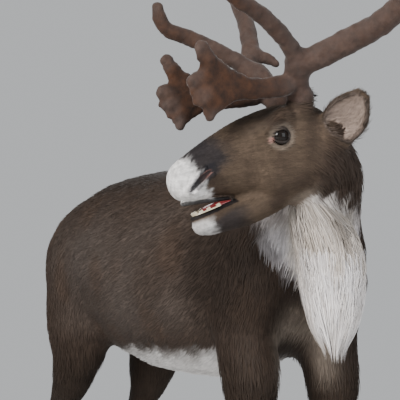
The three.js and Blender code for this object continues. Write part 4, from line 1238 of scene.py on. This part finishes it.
# %% Hang the mane
LOCK_ROWS = [(926, 765, 24), (898, 735, 24), (862, 700, 22), (820, 662, 20), (790, 625, 18),
             (775, 598, 14)]
FORM_END = 597.0
HAIR_END = 592.0
HAIRS = 74
STEPS = 7
MIDDLE = STEPS // 2
# Brightness of the lock rows, darker at the top: partly the cream-brown hair where the mane meets the
# neck, partly painted shade under the jaw
LOCK_TONES = [(0.30, 0.62), (0.50, 0.90), (0.85, 1.05)]
locks = []
for row, (root_z, tip_z, count) in enumerate(LOCK_ROWS):
    for n in range(count):
        lock_angle = (n + 0.5 * (row % 2) + 0.5 * rng.random()) * 2 * math.pi / count
        fall = (root_z - tip_z) * rng.uniform(0.82, 1.12 if row < 4 else 1.0)
        sway = rng.normal(0, 0.16)
        curl = rng.uniform(2, 7)
        hair_angle = rng.normal(0, 0.21, (HAIRS, 1))
        hair_depth = rng.uniform(0.80, 1.02, (HAIRS, 1))
        hair_fall = rng.uniform(0.72, 1.04, (HAIRS, 1)) * fall
        t = np.linspace(0, 1, STEPS)[None]
        angle = lock_angle + sway * t + hair_angle * (1 - 0.62 * t ** 1.3)
        z = root_z + rng.uniform(-14, 14, (HAIRS, 1)) - hair_fall * t
        share = hair_depth * (0.55 + 0.45 * fade(t, -0.1, 0.35)) - 0.06 * t * t
        route = on_mane(np.maximum(z, FORM_END), angle, share)
        route[..., 2] = np.maximum(z, HAIR_END)
        wave = curl * np.sin(t * 7 + n)[..., None] * t[..., None]
        route = route + wave * np.stack([np.cos(angle), np.sin(angle), 0 * angle], -1) * 0.5
        widths = rng.uniform(1.1, 2.1, (HAIRS, 1)) * (1 - 0.7 * t ** 2)
        sine, cosine = np.sin(angle[:, MIDDLE]), np.cos(angle[:, MIDDLE])
        tone = PAINTS["cream"] + (PAINTS["white"] - PAINTS["cream"]) * rng.random()
        tone = tone * rng.uniform(*LOCK_TONES[min(row, 2)])
        tone = tone * ([1.0, 0.93, 0.86] if row < 2 else [1.0, 0.985, 1.0])
        # painted shade: a few locks of the upper rows are painted darker still, as shaded strands
        if rng.random() < 0.05 and row < 4:
            tone = tone * rng.uniform(0.45, 0.7)
        locks.append((route, widths, np.stack([-sine, cosine, 0 * sine], -1),
                      np.stack([cosine, sine, 0.2 + 0 * sine], -1),
                      tone * rng.uniform(0.88, 1.08, (HAIRS, 1))))
mane_routes, *mane_rest = [np.concatenate(part) for part in zip(*locks)]
mane_roots = mane_routes[:, 0]
mane_sheet = np.column_stack([0.77 + 0.2 * fade(mane_roots[:, 2], 760, 960),
                              0.70 + 0.26 * rng.random(len(mane_roots))])
MANE_SHARE = math.ceil(len(mane_routes) / 2)
for n in (0, 1):
    pick = slice(n * MANE_SHARE, (n + 1) * MANE_SHARE)
    mane = spikes(f"mane_hair_{n + 1}", mane_routes[pick], *[part[pick] for part in mane_rest],
                  mane_sheet[pick], mane_finish, "mane")
    if n == 0:
        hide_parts("mane")
    print("mane hairs", len(mane_routes[pick]), "triangles", len(mane.data.polygons))

# %% [markdown]
# The eye is wet and so dark that iris and pupil are not told apart, as in the photograph. The CAD
# ball is right in size but many-sided, so a finer ball takes its place. Claws, teeth and tongue
# keep their CAD shapes and only get their finish.

# %% Eyes
eye_finish = mottled("eye_wet", (0.004, 0.003, 0.003), (0.011, 0.007, 0.005), 240, 0.5, 0.08,
                     (0.02, 0.0002), Specular_IOR_Level=0.1, Coat_Weight=0.25, Coat_Roughness=0.02)
for name, side in SIDES.items():
    rings, parts = 28, 48
    polar = np.linspace(0, math.pi, rings)[:, None]
    turn = np.arange(parts)[None] * 2 * math.pi / parts
    ball = np.stack([np.sin(polar) * np.cos(turn), np.sin(polar) * np.sin(turn),
                     np.cos(polar) + 0 * turn], -1).reshape(-1, 3)
    around = np.arange(parts)
    faces = []
    for ring in range(rings - 1):
        a = ring * parts + around
        b = ring * parts + (around + 1) % parts
        faces.append(np.stack([a, a + parts, b + parts, b], -1))
    centre = from_head(EYE * [1, side, 1])
    eyeball = mesh_piece("eyeball_" + name, centre + EYE_RADIUS * 0.985 * ball, np.vstack(faces),
                         eye_finish)
    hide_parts("eye_" + name)

# %% Finish the pieces kept from the CAD model
MOUTH_FINISHES = {"teeth_lower": ivory, "tongue": flesh}
for name, part in frame["nodes"].items():
    finish = claw_horn if "claw" in name else MOUTH_FINISHES.get(name)
    if finish:
        part.data.materials.clear()
        part.data.materials.append(finish)

# %% [markdown]
# A pale floor under soft light shows the coat without competing with it. A broad lamp from the
# upper left models the face, a weaker one opens the shadows, one from behind edges the back.

# %% Floor
mesh = bpy.data.meshes.new("studio_floor")
mesh.from_pydata([(-7, -7, 0), (7, -7, 0), (7, 7, 0), (-7, 7, 0)], [], [(0, 1, 2, 3)])
floor = placed("studio_floor", mesh)
mesh.materials.append(mottled("pale_floor", (0.62, 0.61, 0.60), (0.66, 0.655, 0.645), 2, 0.5, 0.8))

# %% Light
def lamp(name, place, aim, size, power, tone):
    light = bpy.data.lights.new(name, "AREA")
    light.size = size
    light.energy = power
    light.color = tone
    thing = placed(name, light)
    thing.location = place
    thing.rotation_euler = (Vector(aim) - Vector(place)).to_track_quat("-Z", "Y").to_euler()


lamp("key", (2.3, -3.8, 2.7), (0.2, 0, 0.9), 2.2, 350, (1.0, 0.98, 0.95))
lamp("fill", (3.6, 1.6, 1.8), (0.2, 0, 0.8), 2.6, 70, (0.92, 0.96, 1.0))
lamp("rim", (-2.6, 1.6, 3.2), (0, 0, 1.0), 2.0, 60, (1.0, 1.0, 1.0))
world = bpy.data.worlds.new("studio")
world.use_nodes = True
sky = world.node_tree.nodes["Background"].inputs
sky["Color"].default_value = (0.86, 0.88, 0.90, 1)
sky["Strength"].default_value = 0.62
bpy.context.scene.world = world

# %% [markdown]
# The camera stands ahead of the right shoulder, low and close, and looks slightly up, which is how
# the photograph crops the antlers and the lower legs.

# %% Camera
CAMERA_PLACE = (3031, -1750, 665)
AZIMUTH = math.radians(60)
RISE = math.radians(5.44)
view = bpy.data.cameras.new("camera")
view.lens = 122.85
view.sensor_width = 36
camera = placed("camera", view)
camera.location = to_frame(CAMERA_PLACE)
look = Vector((-math.sin(AZIMUTH) * math.cos(RISE), math.cos(AZIMUTH) * math.cos(RISE), math.sin(RISE)))
camera.rotation_euler = look.to_track_quat("-Z", "Y").to_euler()
bpy.context.scene.camera = camera

# %% Measure and finish
for thing in list(bpy.data.objects):
    if thing.name in ("Cube", "Light", "Camera"):
        bpy.data.objects.remove(thing)
